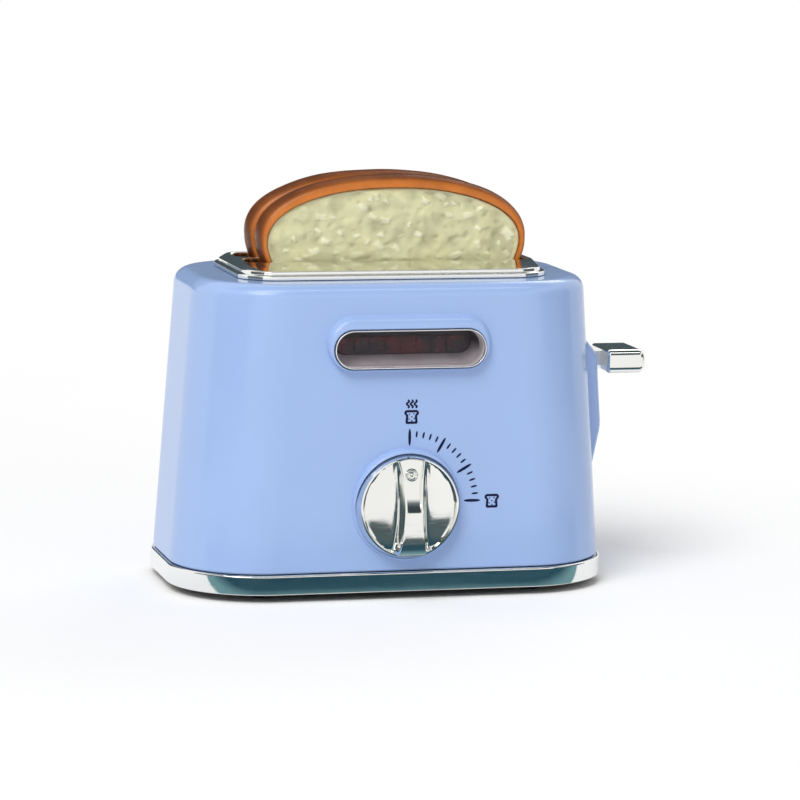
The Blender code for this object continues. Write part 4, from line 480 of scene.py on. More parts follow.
BLUE = plastic("casing_blue", tint(158, 184, 230), 0.16, mottle=0.015)
CHROME = plated("chrome", tint(240, 240, 236), 0.07)
BEZEL_CHROME = bezel_finish()
PALE = plastic("pale_plastic", tint(214, 216, 220), 0.35)
DARK = plastic("dark_plastic", tint(46, 48, 54), 0.45, depth=0.03 * MM, mottle=0.12)
TRAY = tray_finish()
CRUMB = crumb_finish()
CRUST = crust_finish()
SMOKE = smoked_lens()
GLOW = clear_red("glow_panel_red", tint(50, 44, 52), tint(104, 38, 48), 0.02)
LAMP = clear_red("lamp_red", tint(120, 20, 26), tint(190, 30, 34), 0.1)
STEEL = wire_metal("spring_steel", tint(190, 192, 196), 0.3)
BRASS = wire_metal("contact_brass", tint(205, 170, 96), 0.32)
RUBBER = rubber("foot_rubber", tint(40, 40, 42))
INK = ink("dial_ink", tint(16, 22, 62))
WRAP = cell_wrap()
BOARD = plastic("board_green", tint(48, 104, 66), 0.45, mottle=0.1)
RED_WIRE = plastic("wire_red", tint(186, 40, 40), 0.4)
BLACK_WIRE = plastic("wire_black", tint(38, 38, 40), 0.4, mottle=0.15)

NODE_FINISHES = {
    "bread_well": DARK, "base_plate": DARK, "battery_door": DARK, "lamp_board": BOARD, "glow_panel": GLOW,
    "lamp_left": LAMP, "lamp_right": LAMP, "battery_front": WRAP, "battery_rear": WRAP,
    "wire_red": RED_WIRE, "wire_white": PALE, "wire_black": BLACK_WIRE,
}
WORD_FINISHES = {"screw": STEEL, "spring": STEEL, "rod": STEEL, "pin": STEEL, "clip": STEEL,
                 "contact": BRASS, "strip": BRASS, "bridge": BRASS}


# Modelling helpers

def smooth(mesh, sharp=SHARP):
    mesh.shade_smooth()
    mesh.set_sharp_from_angle(angle=sharp)


def shape(name, bm, finish, body, stands_for=(), sharp=SHARP):
    """Makes a mesh a piece of the toy that rides on a body and stands for CAD nodes."""
    bmesh.ops.recalc_face_normals(bm, faces=bm.faces)
    mesh = bpy.data.meshes.new(name)
    bm.to_mesh(mesh)
    bm.free()
    smooth(mesh, sharp)
    made = bpy.data.objects.new(name, mesh)
    DRESSING.objects.link(made)
    if finish is not None:
        mesh.materials.append(finish)
    if body is not None:
        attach(made, body)
        if stands_for:
            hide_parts(*stands_for)
    return made


def even_normals(made):
    """Large flat faces keep their own normal beside rounded edges."""
    step = made.modifiers.new("even normals", "WEIGHTED_NORMAL")
    step.keep_sharp = True
    step.weight = 100


def combine(target, tool, operation):
    """Joins or cuts with a tool that is then thrown away."""
    step = target.modifiers.new("combine", "BOOLEAN")
    step.operation = operation
    step.solver = "MANIFOLD"
    step.object = tool
    depsgraph = bpy.context.evaluated_depsgraph_get()
    mesh = bpy.data.meshes.new_from_object(target.evaluated_get(depsgraph))
    target.modifiers.clear()
    old = target.data
    target.data = mesh
    bpy.data.meshes.remove(old)
    bpy.data.objects.remove(tool, do_unlink=True)


def turned_once(row):
    return row[1:] + row[:1]


def bridge(bm, first, second):
    """Faces between two closed rows of as many points."""
    for corners in zip(first, turned_once(first), turned_once(second), second):
        bm.faces.new(corners)


def bridge_open(bm, first, second):
    for corners in zip(first, first[1:], second[1:], second):
        bm.faces.new(corners)


def add_loft(bm, rings, closed=False):
    """Skins rings in order. They close onto themselves like a hoop, or get a cap at each end."""
    rows = [[bm.verts.new(point) for point in ring] for ring in rings]
    for lower, upper in zip(rows, rows[1:]):
        bridge(bm, lower, upper)
    if closed:
        bridge(bm, rows[-1], rows[0])
    else:
        bm.faces.new(list(reversed(rows[0])))
        bm.faces.new(rows[-1])


def loft(name, rings, finish=None, body=None, stands_for=(), closed=False, sharp=SHARP):
    bm = bmesh.new()
    add_loft(bm, rings, closed)
    return shape(name, bm, finish, body, stands_for, sharp)


def flat_ring(outline, z):
    return [Vector((x, y, z)) for x, y in outline]


def rounded_rect(half_a, half_b, radius, steps=CORNER_STEPS, centre=(0.0, 0.0)):
    """Points round a rectangle with arcs at its corners, anticlockwise."""
    points = []
    for corner, (side_a, side_b) in enumerate(((1, 1), (-1, 1), (-1, -1), (1, -1))):
        middle = (centre[0] + side_a * (half_a - radius), centre[1] + side_b * (half_b - radius))
        points += arc(middle, radius, 90 * corner, 90 * (corner + 1), steps)
    return points


def pill(half_length, half_height, centre):
    points = []
    for side in (1, -1):
        middle = (centre[0] + side * (half_length - half_height), centre[1])
        start = -90 if side > 0 else 90
        points += arc(middle, half_height, start, start + 180, PILL_STEPS)
    return points


def arc(centre, radius, start, end, steps):
    """Points of a flat arc between two angles in degrees."""
    points = []
    for i in range(steps + 1):
        angle = math.radians(start + (end - start) * i / steps)
        points.append((centre[0] + radius * math.cos(angle), centre[1] + radius * math.sin(angle)))
    return points


def eased(value):
    value = min(1.0, max(0.0, value))
    return value * value * (3 - 2 * value)


def between(low, high, share):
    return low + (high - low) * share


def add_turned(bm, profile, matrix, steps):
    """A profile of (radius, height) that starts and ends on the matrix's Z axis, turned round it."""
    rows = []
    for i in range(steps):
        turn = matrix @ Matrix.Rotation(2 * math.pi * i / steps, 4, "Z")
        rows.append([bm.verts.new(turn @ Vector((radius, 0.0, height))) for radius, height in profile])
    for here, there in zip(rows, turned_once(rows)):
        bridge_open(bm, here, there)
    bmesh.ops.remove_doubles(bm, verts=bm.verts, dist=MM / 1000)


# Casing

WALL_LEVELS = 8


def half_width_at(height):
    rise = (height - BODY_BOTTOM) / (BODY_TOP - BODY_BOTTOM)
    return HALF_BASE + (HALF_TOP - HALF_BASE) * rise


def body_ring(height, inset):
    half_width = half_width_at(height) - inset
    return flat_ring(rounded_rect(half_width, HALF_DEPTH - inset, CORNER_RADIUS - inset), height)


def body_wall(inset, bottom, steps):
    """Rings of the casing's wall from its lower edge to the end of its rounded top edge."""
    edge = TOP_EDGE_RADIUS - inset
    shoulder = BODY_TOP - inset - edge
    rings = [body_ring(bottom + (shoulder - bottom) * i / WALL_LEVELS, inset) for i in range(WALL_LEVELS + 1)]
    rings += [body_ring(shoulder + up, inset + edge - across)
              for across, up in arc((0.0, 0.0), edge, 0, 90, steps)[1:]]
    return rings


def housing_tool(name, inset, edge, segments):
    """The lever's housing as a block, or what hollows it, with its outer edges rounded."""
    deep = SHELL_WALL + inset + OVERRUN
    reach = HOUSING_REACH - inset
    top = BODY_TOP - HOUSING_DROP
    stations = ((HOUSING_FOOT + inset, 0.0), (HOUSING_KNEE, reach), (top - HOUSING_SHOULDER, reach),
                (top - inset, reach / 3))
    outline = [(half_width_at(z) + out, z) for z, out in stations]
    outline = [(half_width_at(outline[0][1]) - deep, outline[0][1])] + outline
    outline.append((half_width_at(top - inset) - deep, top - inset))
    half = HOUSING_WIDTH / 2 - inset
    bm = bmesh.new()
    add_loft(bm, [[(x, y, z) for x, z in outline] for y in (-half, half)])
    bmesh.ops.recalc_face_normals(bm, faces=bm.faces)
    inner = half_width_at(top - inset) - deep / 2
    edges = [line for line in bm.edges if max(vert.co.x for vert in line.verts) > inner]
    bmesh.ops.bevel(bm, geom=edges, offset=edge, segments=segments, profile=0.5, affect="EDGES")
    return shape(name, bm, None, None)


def window_pill(sides, depth, below=None, above=None):
    """Points round the window at a depth, with a margin at its ends and others under and over it."""
    below = sides if below is None else below
    above = sides if above is None else above
    half_height = WINDOW_HALF_HEIGHT + (below + above) / 2
    middle = WINDOW_Z + (above - below) / 2
    return [Vector((x, depth, z)) for x, z in pill(WINDOW_HALF_LENGTH + sides, half_height, (0.0, middle))]


def round_knob(radius, depth, steps):
    """A circle about the knob's axis at a depth."""
    return [Vector((x, depth, KNOB_Z + z)) for x, z in arc((0.0, 0.0), radius, 0, 360, steps)[:-1]]


def make_casing():
    rim = rounded_rect(FRAME_HIGH.x - OPENING_LAP, WELL_HIGH.y + SLIDE_GAP, OPENING_CORNER)
    rings = [body_ring(BODY_BOTTOM, LOWER_EDGE_RADIUS)] + body_wall(0.0, BODY_BOTTOM + LOWER_EDGE_RADIUS, 10)
    rings += [flat_ring(rim, BODY_TOP), flat_ring(rim, BODY_TOP - SHELL_WALL)]
    rings += reversed(body_wall(SHELL_WALL, BODY_BOTTOM, 5))
    casing = loft("casing_skin", rings, BLUE, "housing", ("main_shell",), closed=True)
    combine(casing, housing_tool("housing_form", 0.0, HOUSING_EDGE, 6), "UNION")
    combine(casing, housing_tool("housing_hollow", SHELL_WALL, HOUSING_EDGE / 2, 2), "DIFFERENCE")
    half = (ARM_HIGH.y - ARM_LOW.y) / 2 + SLIDE_GAP
    low = ARM_LOW.z - TRAVEL - SLIDE_GAP
    high = ARM_HIGH.z + SLIDE_GAP
    slot = rounded_rect((high - low) / 2, half, half * LEVER_SLOT_SHARE, 6, ((low + high) / 2, 0.0))
    slot_ends = (HALF_TOP - SHELL_WALL - OVERRUN, half_width_at(low) + HOUSING_REACH + OVERRUN)
    depths = (FRONT_FACE - OVERRUN, FRONT_INSIDE + OVERRUN)
    cuts = {
        "lever_slot": [[Vector((x, y, z)) for z, y in slot] for x in slot_ends],
        "window_hole": [window_pill(2 * GAP, depth) for depth in depths],
        "knob_hole": [round_knob(KNOB_HOLE, depth, 36) for depth in depths],
    }
    for name, cut in cuts.items():
        combine(casing, loft(name, cut), "DIFFERENCE")
    smooth(casing.data)
    even_normals(casing)


def make_boss():
    """The raised surround of the window: a hood over it, hardly any rim under it."""
    inner = GAP + BOSS_EDGE
    margins = [margin - inner for margin in (BOSS_SIDES, BOSS_BELOW, BOSS_ABOVE)]

    def outer(share, depth):
        sides, below, above = (inner + margin * share for margin in margins)
        return window_pill(sides, depth, below, above)

    rings = [outer(HOOD_SHARES[0][0], FRONT_FACE + SUNK)]
    rings += [outer(share, FRONT_FACE - BOSS_HEIGHT * rise) for share, rise in HOOD_SHARES]
    rings += [window_pill(inner + a, FRONT_FACE - BOSS_HEIGHT + BOSS_EDGE - b)
              for a, b in arc((0.0, 0.0), BOSS_EDGE, 90, 180, 4)]
    rings += [window_pill(GAP, FRONT_INSIDE - GAP), window_pill(3 * GAP, FRONT_INSIDE - GAP),
              window_pill(3 * GAP, FRONT_FACE + SUNK)]
    even_normals(loft("window_boss", rings, BLUE, "housing", closed=True))


def make_collar():
    """The knob's seat: a low disc with a rim that rises into a hood over the knob's upper half."""
    inner = KNOB_RADIUS + GAP

    def rim(share, rise, back=0.0):
        points = []
        for x, up in arc((0.0, 0.0), 1.0, 0, 360, COLLAR_STEPS)[:-1]:
            wide = COLLAR_SIDES + ((COLLAR_ABOVE if up > 0 else COLLAR_BELOW) - COLLAR_SIDES) * up * up
            high = COLLAR_PROUD + (COLLAR_HOOD - COLLAR_PROUD) * eased((up + 0.2) / 1.2)
            radius = inner + wide * share
            points.append(Vector((radius * x, FRONT_FACE - high * rise + back, KNOB_Z + radius * up)))
        return points

    rings = [rim(HOOD_SHARES[0][0], 0.0, SUNK)]
    rings += [rim(share, rise) for share, rise in HOOD_SHARES]
    rings += [round_knob(radius, FRONT_FACE - proud, COLLAR_STEPS)
              for radius, proud in ((inner, COLLAR_FLOOR), (SHAFT_HOLE, COLLAR_FLOOR), (SHAFT_HOLE, -SUNK))]
    even_normals(loft("knob_collar", rings, BLUE, "housing", closed=True))


# Plinth and slot frame

PLINTH_WALL = 2.6 * MM
PLINTH_LIP = 0.8 * MM
PLINTH_FOOT = 0.3 * MM       # chamfer of its lower edge
FRAME_CORNER = 14.0 * MM
FLANGE_HEIGHT = 1.5 * MM
FRAME_COLLAR_INSET = 1.8 * MM
FRAME_COLLAR_HEIGHT = 1.5 * MM
FRAME_ROUND = 0.45 * MM
CROWN_MARGIN = 1.6 * MM
SLOT_HALF_LENGTH = 53.0 * MM
SLOT_HALF_WIDTH = 8.0 * MM
SLOT_Y = 10.0 * MM
SLOT_CORNER = 4.0 * MM
SLOT_LIP = 0.8 * MM


def inset_ring(half_a, half_b, radius, inset, z, steps, centre=(0.0, 0.0)):
    return flat_ring(rounded_rect(half_a - inset, half_b - inset, radius - inset, steps, centre), z)


def make_plinth():
    low, high = PLINTH_LOW.z, PLINTH_HIGH.z
    corner = CORNER_RADIUS + PLINTH_HIGH.x - HALF_BASE
    profile = [(PLINTH_WALL, low), (PLINTH_FOOT, low), (0.0, low + PLINTH_FOOT), (0.0, low + 4 * PLINTH_FOOT)]
    profile += [(PLINTH_LIP - a, high - PLINTH_LIP + b) for a, b in arc((0.0, 0.0), PLINTH_LIP, 0, 90, 8)]
    profile.append((PLINTH_WALL, high))
    rings = [inset_ring(PLINTH_HIGH.x, PLINTH_HIGH.y, corner, inset, z, CORNER_STEPS) for inset, z in profile]
    even_normals(loft("plinth_skin", rings, CHROME, "housing", ("plinth",), closed=True))


def make_slot_frame():
    low, top = FRAME_LOW.z, FRAME_HIGH.z
    flange = low + FLANGE_HEIGHT
    collar = flange + FRAME_COLLAR_HEIGHT
    profile = [(0.0, low), (0.0, flange - FRAME_ROUND)]
    profile += arc((FRAME_ROUND, flange - FRAME_ROUND), FRAME_ROUND, 165, 90, 5)
    profile += arc((FRAME_COLLAR_INSET - FRAME_ROUND, flange + FRAME_ROUND), FRAME_ROUND, 270, 360, 4)
    profile.append((FRAME_COLLAR_INSET, collar - FRAME_ROUND))
    profile += arc((FRAME_COLLAR_INSET + FRAME_ROUND, collar - FRAME_ROUND), FRAME_ROUND, 165, 105, 4)
    rings = [inset_ring(FRAME_HIGH.x, FRAME_HIGH.y, FRAME_CORNER, inset, z, 16) for inset, z in profile]
    rings.append(inset_ring(SLOT_HALF_LENGTH, SLOT_Y + SLOT_HALF_WIDTH, SLOT_CORNER, -CROWN_MARGIN, top, 16))
    made = loft("slot_frame_skin", rings, CHROME, "housing", ("slot_frame",))
    lip = [(0.0, low - OVERRUN)]
    lip += [(SLOT_LIP - b, top - SLOT_LIP + a) for b, a in arc((0.0, 0.0), SLOT_LIP, 0, 90, 6)]
    lip.append((SLOT_LIP, top + OVERRUN))
    for side in (-1, 1):
        cut = [inset_ring(SLOT_HALF_LENGTH, SLOT_HALF_WIDTH, SLOT_CORNER, -grow, z, 12, (0.0, side * SLOT_Y))
               for grow, z in lip]
        combine(made, loft("slot_cut", cut), "DIFFERENCE")
    smooth(made.data)
    even_normals(made)


# Window

def make_window():
    seen = -BEZEL_SEEN
    rear = seen - LENS_LEDGE
    step_y = LENS_HIGH.y + GAP
    edges = arc((-BEZEL_EDGE, -BEZEL_EDGE), BEZEL_EDGE, 0, 90, 5)
    edges += arc((seen + BEZEL_EDGE, -BEZEL_EDGE), BEZEL_EDGE, 90, 180, 5)
    profile = [(0.0, FRONT_INSIDE + GAP)] + [(a, BEZEL_LOW.y - b) for a, b in edges]
    profile += [(seen, step_y), (rear, step_y), (rear, BEZEL_HIGH.y), (BEZEL_FLANGE, BEZEL_HIGH.y),
                (BEZEL_FLANGE, FRONT_INSIDE + GAP)]
    rings = [window_pill(grow, depth) for grow, depth in profile]
    even_normals(loft("bezel_skin", rings, BEZEL_CHROME, "housing", ("window_bezel",), closed=True))
    lens = seen - GAP / 3
    even_normals(loft("lens_skin", [
        window_pill(lens, LENS_HIGH.y),
        window_pill(lens, LENS_LOW.y + LENS_EDGE),
        window_pill(lens - LENS_EDGE, LENS_LOW.y),
    ], SMOKE, "housing", ("window_lens",)))
    back = TRAY_HIGH.y - TRAY_WALL
    even_normals(loft("tray_skin", [
        window_pill(-TRAY_DRAFT, TRAY_HIGH.y),
        window_pill(0.0, TRAY_LOW.y),
        window_pill(rear, TRAY_LOW.y),
        window_pill(rear - TRAY_DRAFT / 2, (TRAY_LOW.y + back) / 2, rear - TRAY_SILL / 2, rear - GAP),
        window_pill(rear - TRAY_DRAFT, back, rear - TRAY_SILL, rear - GAP),
    ], TRAY, "housing", ("window_tray",)))


# Knob

def grip_half(rise):
    share = rise / FACE_RADIUS
    return GRIP_WAIST_HALF + (GRIP_END_HALF - GRIP_WAIST_HALF) * share * share


def grip_top(rise):
    share = abs(rise) / FACE_RADIUS
    return RIM_DEPTH + (KNOB_TOP - RIM_DEPTH) * max(0.0, 1 - share ** GRIP_FULLNESS)


def pointer_floor(rise):
    """The flat of the pointer: a straight run from its recess down to the rim."""
    start = POINTER_START + POINTER_SLOPE
    first = RIM_DEPTH + POINTER_FLOOR
    last = RIM_DEPTH - RIM_ROUND
    return first + (last - first) * (rise - start) / (FACE_RADIUS - start)


def knob_row(rise, half_chord):
    """Places and heights across the knob's face at a rise over its axis, from its middle outwards."""
    half = min(grip_half(rise), half_chord * CHORD_SHARE)
    sunk = 1 - (1 - min(1.0, max(0.0, (rise - POINTER_START) / POINTER_SLOPE))) ** 3
    fall = max(0.0, (rise - POINTER_START) / (FACE_RADIUS - POINTER_START)) ** CREST_FULLNESS
    crest = min(grip_top(rise), KNOB_TOP - (KNOB_TOP - RIM_DEPTH - POINTER_DEPTH) * fall)
    low = crest + (min(pointer_floor(rise), crest) - crest) * sunk if rise > POINTER_START else crest
    inside = half - GRIP_EDGE - min(POINTER_RIDGE, half * RIDGE_SHARE)
    points = [(inside * i / 6, low) for i in range(6)]
    points += [(inside - RIDGE_SLOPE, low), (inside + RIDGE_SLOPE, crest), (half - GRIP_EDGE, crest),
               (half - GRIP_EDGE * 0.3, crest - GRIP_EDGE * 0.3), (half, crest - GRIP_EDGE)]
    edge = max(half_chord - RIM_WIDTH, half)
    for i in range(1, SCOOP_STEPS + 1):
        share = i / SCOOP_STEPS
        x = half + (edge - half) * share
        flank = math.exp(-(x - half) / GRIP_FLANK * 1.3) * (1 - share) ** 0.5
        away = (x * x + rise * rise) / (KNOB_RADIUS * KNOB_RADIUS)
        floor = RIM_DEPTH - SCOOP_DEPTH + SCOOP_BULGE * (1 - away)
        base = floor + (RIM_DEPTH - floor - RIM_ROUND * 0.5) * eased((x - edge) / SCOOP_EDGE + 1.0)
        points.append((x, base + max(0.0, crest - GRIP_EDGE - base) * flank))
    points += [(edge + min(FACE_EDGE, half_chord - edge), RIM_DEPTH), (half_chord, RIM_DEPTH)]
    return points


def make_knob():
    """The chromed knob: rim, two scoops, and a waisted grip with a sunk pointer flat in its upper half."""
    reach = FACE_RADIUS - RIM_ROUND
    bm = bmesh.new()
    grid = []
    for across, up in arc((0.0, 0.0), reach, -90, 90, KNOB_ROWS):
        line = knob_row(up, max(across, SHORTEST_ROW))
        line = [(-x, height) for x, height in reversed(line[1:])] + line
        grid.append([bm.verts.new((x, KNOB_BASE_Y - height, KNOB_Z + up)) for x, height in line])
    for lower, upper in zip(grid, grid[1:]):
        bridge_open(bm, lower, upper)
    rim = [row[-1] for row in grid] + [row[0] for row in reversed(grid)]
    side = [(reach + RIM_ROUND * 0.7, RIM_DEPTH - RIM_ROUND * 0.3), (FACE_RADIUS, RIM_DEPTH - RIM_ROUND),
            (KNOB_RADIUS - BACK_EDGE, RIM_ROUND), (KNOB_RADIUS - RIM_ROUND, 0.0)]
    last = rim
    for radius, height in side:
        ring = []
        for vert in rim:
            away = Vector((vert.co.x, 0.0, vert.co.z - KNOB_Z)).normalized() * radius
            ring.append(bm.verts.new((away.x, KNOB_BASE_Y - height, KNOB_Z + away.z)))
        bridge(bm, last, ring)
        last = ring
    bm.faces.new(last)
    add_dimple(bm)
    shape("knob_skin", bm, CHROME, "dial_knob", ("knob",), sharp=math.radians(38.0))


def add_dimple(bm):
    """Two raised rings with a small dome between them on the pointer flat."""
    height = pointer_floor(DIMPLE_RISE)
    slope = (pointer_floor(DIMPLE_RISE + MM) - height) / MM
    turn = Matrix.Rotation(math.pi / 2 + math.atan(slope), 4, "X")
    place = Matrix.Translation((0.0, KNOB_BASE_Y - height, KNOB_Z + DIMPLE_RISE)) @ turn
    profile = list(DIMPLE_DOME)
    for middle in (DIMPLE_RADIUS - DIMPLE_PITCH, DIMPLE_RADIUS):
        profile += [(middle - a, b * DIMPLE_STRETCH) for a, b in arc((0.0, 0.0), DIMPLE_BEAD, 0, 180, 6)]
    profile += [(DIMPLE_RADIUS + DIMPLE_BEAD, -SUNK), (0.0, -SUNK)]
    add_turned(bm, profile, place, 48)


# Bread slices

SLICE_HALF_THICKNESS = 7.0 * MM
CRUMB_HALF_WIDTH = 47.7 * MM
CROWN_RISE = 19.5 * MM
CROWN_FULLNESS = 2.14
LOBE_DROP = 14.0 * MM
WAIST_DEPTH = 3.4 * MM
FOOT_CORNER = 9.0 * MM
CRUST_SIDE = 2.8 * MM
CRUST_TOP = 5.0 * MM
LUMP_DEPTH = 1.1 * MM
BROAD_LUMP, MIDDLING_LUMP, PIT = 7.0, 3.2, 2.6   # sizes in millimetres
LUMP_SHARES = (0.75, 0.45, -0.9)   # of the broad lumps, the middling ones and the pits
PIT_START = 0.25
MIDDLING_SHIFT = Vector((4.0, 9.0, 0.0))
PIT_SHIFT = Vector((31.0, 7.0, 0.0))
SMOOTH_SHARE = 0.6         # of the full lumps, where the crumb is smoother
LUMPS_FROM = 119.0 * MM    # the crumb is smoother under this height
LUMPS_FULL = 6.0 * MM      # over it
FINE_FROM = LUMPS_FROM - 8.0 * MM
LUMP_MARGIN = 2.0 * MM     # from the crumb's edge
COLUMN_TURN = math.pi / 2 * 0.75   # its columns lie closer towards the sides
CRUMB_STEP = 0.55 * MM
CRUMB_EDGE = 0.8 * MM
CHIP_PITCH = 5.4 * MM
CHIP_SHARE = 0.5
CHIP_LENGTH = 4.8 * MM
CHIP_WIDTH = 2.9 * MM
CHIP_RISE = 0.5 * MM
CHIPS_THIN_OUT = 22.0 * MM
CHIP_ANGLES = (-75.0, 35.0)
CHIP_SIZES = (0.5, 1.5)
CHIP_TAPERS = (0.3, 0.9)
CHIP_SKEW = 0.35
CHIP_STEEPNESS = 1.8
CHIP_HEIGHTS = (0.6, 0.4, 0.3)     # of all chips, more of the rarer ones and of their slant
ROLLS = (127.1, 269.5, 74.7)   # what scatters the chips
ROLL_UP = 311.7
ROLL_SPREAD = 43758.5453
CRUST_SUNK = 0.5 * MM          # from the slice's faces to the crust's
CRUST_LIP = ((0.15 * MM, 0.9), (0.4 * MM, 1.0), (0.85 * MM, 1.0))   # out from the crumb, share of its depth
CRUST_START = 1.15 * MM        # out from the crumb, where its round part starts
CRUST_FULLNESS = 0.72          # exponent of its rise to the full reach
# Where the crust turns darker brown: partly its own colour, partly painted shade.
BROWN_FROM, BROWN_WIDTH = 0.35, 0.5   # in shares of its reach
CRUST_SWELL = 0.22 * MM
SWELL_SIZE = 14.0              # in millimetres
SWELL_FULL = 2.5 * MM          # out from the crumb
BACK_SEED = 40                 # sets a slice's two faces apart
SLICE_SEEDS = {"front": 3, "rear": 71}


def slice_outline(bottom, top):
    """Points round the crumb, from the right side of its foot over the crown."""
    waist = CRUMB_HALF_WIDTH - WAIST_DEPTH
    foot_z = bottom + CRUST_SIDE
    crown_z = top - CRUST_TOP - CROWN_RISE
    lobe_z = crown_z - LOBE_DROP
    corner_z = foot_z + FOOT_CORNER
    right = [(waist * i / 16, foot_z) for i in range(13)]
    right += arc((waist - FOOT_CORNER, corner_z), FOOT_CORNER, -90, 0, 12)[1:]
    right += [(waist, corner_z + (lobe_z - corner_z) * i / 18) for i in range(1, 19)]
    right += [(waist + WAIST_DEPTH * (1 - math.cos(math.pi * i / 12)) / 2, lobe_z + LOBE_DROP * i / 12)
              for i in range(1, 13)]
    crown = []
    for x, up in arc((0.0, 0.0), 1.0, 0, 180, 96)[1:-1]:
        across = math.copysign(abs(x) ** (2 / CROWN_FULLNESS), x)
        crown.append((CRUMB_HALF_WIDTH * across, crown_z + CROWN_RISE * up ** (2 / CROWN_FULLNESS)))
    return right + crown + [(-x, z) for x, z in reversed(right[1:])]


def outward(points):
    """The way out at each point of a closed outline."""
    return [Vector((z1 - z0, x0 - x1)).normalized()
            for (x0, z0), (x1, z1) in zip(points[-1:] + points[:-1], turned_once(points))]


def finer(points):
    """The same line with more points, closest where the crumb is in view."""
    result = [points[0]]
    for (x0, z0), (x1, z1) in zip(points, points[1:]):
        step = CRUMB_STEP if z1 > FINE_FROM else 2 * CRUMB_STEP
        count = max(1, math.ceil(math.hypot(x1 - x0, z1 - z0) / step))
        result += [(x0 + (x1 - x0) * i / count, z0 + (z1 - z0) * i / count) for i in range(1, count + 1)]
    return result


def nearness(x, z, half, side):
    """About how far a place on a face lies from its edge."""
    crown_z = side[-1][1] - CROWN_RISE
    if z > crown_z:
        across = abs(x) / CRUMB_HALF_WIDTH
        upward = (z - crown_z) / CROWN_RISE
        share = (across ** CROWN_FULLNESS + upward ** CROWN_FULLNESS) ** (1 / CROWN_FULLNESS)
        reach = (CROWN_RISE * upward + CRUMB_HALF_WIDTH * across) / max(upward + across, 0.1)
        return max(0.0, (1 - share) * reach)
    return max(0.0, min(half - abs(x), z - side[0][1]))


def lump_at(x, z, seed):
    """Height of the moulded crumb's surface: broad lumps with small pits."""
    at = Vector((x / MM, z / MM, seed))
    broad = noise.noise(at / BROAD_LUMP)
    middling = noise.noise(at / MIDDLING_LUMP + MIDDLING_SHIFT)
    pits = max(0.0, noise.noise(at / PIT + PIT_SHIFT) - PIT_START)
    return sum(share * part for share, part in zip(LUMP_SHARES, (broad, middling, pits)))


def chip_at(x, z, seed):
    """How high a place stands on one of the slanted chips that are scattered over the crumb, from 0 to 1."""
    at = Vector((x / CHIP_PITCH, z / CHIP_PITCH, seed))
    nearest = noise.voronoi(Vector((at.x, at.y, 0.37 * seed)))[1][0]
    roll = [abs(math.sin(nearest.x * factor + nearest.y * ROLL_UP) * ROLL_SPREAD) % 1.0 for factor in ROLLS]
    if roll[0] > CHIP_SHARE * (1.4 - eased((z - LUMPS_FROM) / CHIPS_THIN_OUT)):
        return 0.0
    angle = math.radians(between(*CHIP_ANGLES, roll[1]))
    offset = Vector((at.x - nearest.x, at.y - nearest.y)) * CHIP_PITCH
    along = offset.x * math.cos(angle) + offset.y * math.sin(angle)
    across = offset.y * math.cos(angle) - offset.x * math.sin(angle)
    size = between(*CHIP_SIZES, roll[2] * roll[2])
    narrow = 1.0 - between(*CHIP_TAPERS, roll[0]) * along / CHIP_LENGTH
    across += CHIP_SKEW * along * (roll[1] - 0.5)
    inside = 1.0 - max(abs(along) / (CHIP_LENGTH / 2), abs(across) / (CHIP_WIDTH / 2 * narrow)) / size
    parts = (1.0, roll[0] / CHIP_SHARE, across / CHIP_WIDTH)
    return eased(inside * CHIP_STEEPNESS) * sum(share * part for share, part in zip(CHIP_HEIGHTS, parts))


def make_crumb(node, centre_x, middle, low, high, seed):
    """Two lumpy faces made of rows across, joined round the edge."""
    outline = slice_outline(low, high)
    crown = outline.index(max(outline, key=lambda point: point[1]))
    foot_z = outline[0][1]
    side = [point for point in outline[:crown + 1] if point[0] > 0 and point[1] > foot_z]
    foot = [point for point in outline[:crown + 1] if point[1] <= foot_z][-1]
    side = finer([foot] + side)
    columns = int(2 * CRUMB_HALF_WIDTH / CRUMB_STEP)
    bm = bmesh.new()
    lump_layer = bm.verts.layers.float.new("lump")
    chip_layer = bm.verts.layers.float.new("chip")
    edges = []
    for direction in (-1, 1):
        rows = []
        for half, z in side:
            row = []
            lumpy = between(SMOOTH_SHARE, 1.0, eased((z - LUMPS_FROM) / LUMPS_FULL))
            for i in range(columns + 1):
                x = half * math.sin(COLUMN_TURN * (2 * i / columns - 1)) / math.sin(COLUMN_TURN)
                near = nearness(x, z, half, side)
                rounding = CRUMB_EDGE * (1 - math.sqrt(max(0.0, 1 - max(0.0, 1 - near / CRUMB_EDGE) ** 2)))
                fade = eased(near / LUMP_MARGIN) * lumpy
                lump = lump_at(x, z, seed + direction * BACK_SEED) * fade
                chip = chip_at(x, z, seed + direction * BACK_SEED) * fade
                depth = SLICE_HALF_THICKNESS - rounding + (lump - 1) * LUMP_DEPTH + (chip - 1) * CHIP_RISE
                vert = bm.verts.new((centre_x + x, middle + direction * depth, z))
                # The relief's height and the chips' height, which also set the crumb's painted light and
                # shade and its painted highlights.
                vert[lump_layer] = 0.5 + 0.5 * lump
                vert[chip_layer] = chip
                row.append(vert)
            rows.append(row)
        for lower, upper in zip(rows, rows[1:]):
            bridge_open(bm, lower, upper)
        edges.append(rows[0] + [row[-1] for row in rows[1:]] + rows[-1][-2::-1]
                     + [row[0] for row in rows[-2:0:-1]])
    bridge(bm, *edges)
    shape(node + "_skin", bm, CRUMB, node_body(node), (node,), sharp=math.radians(80.0))


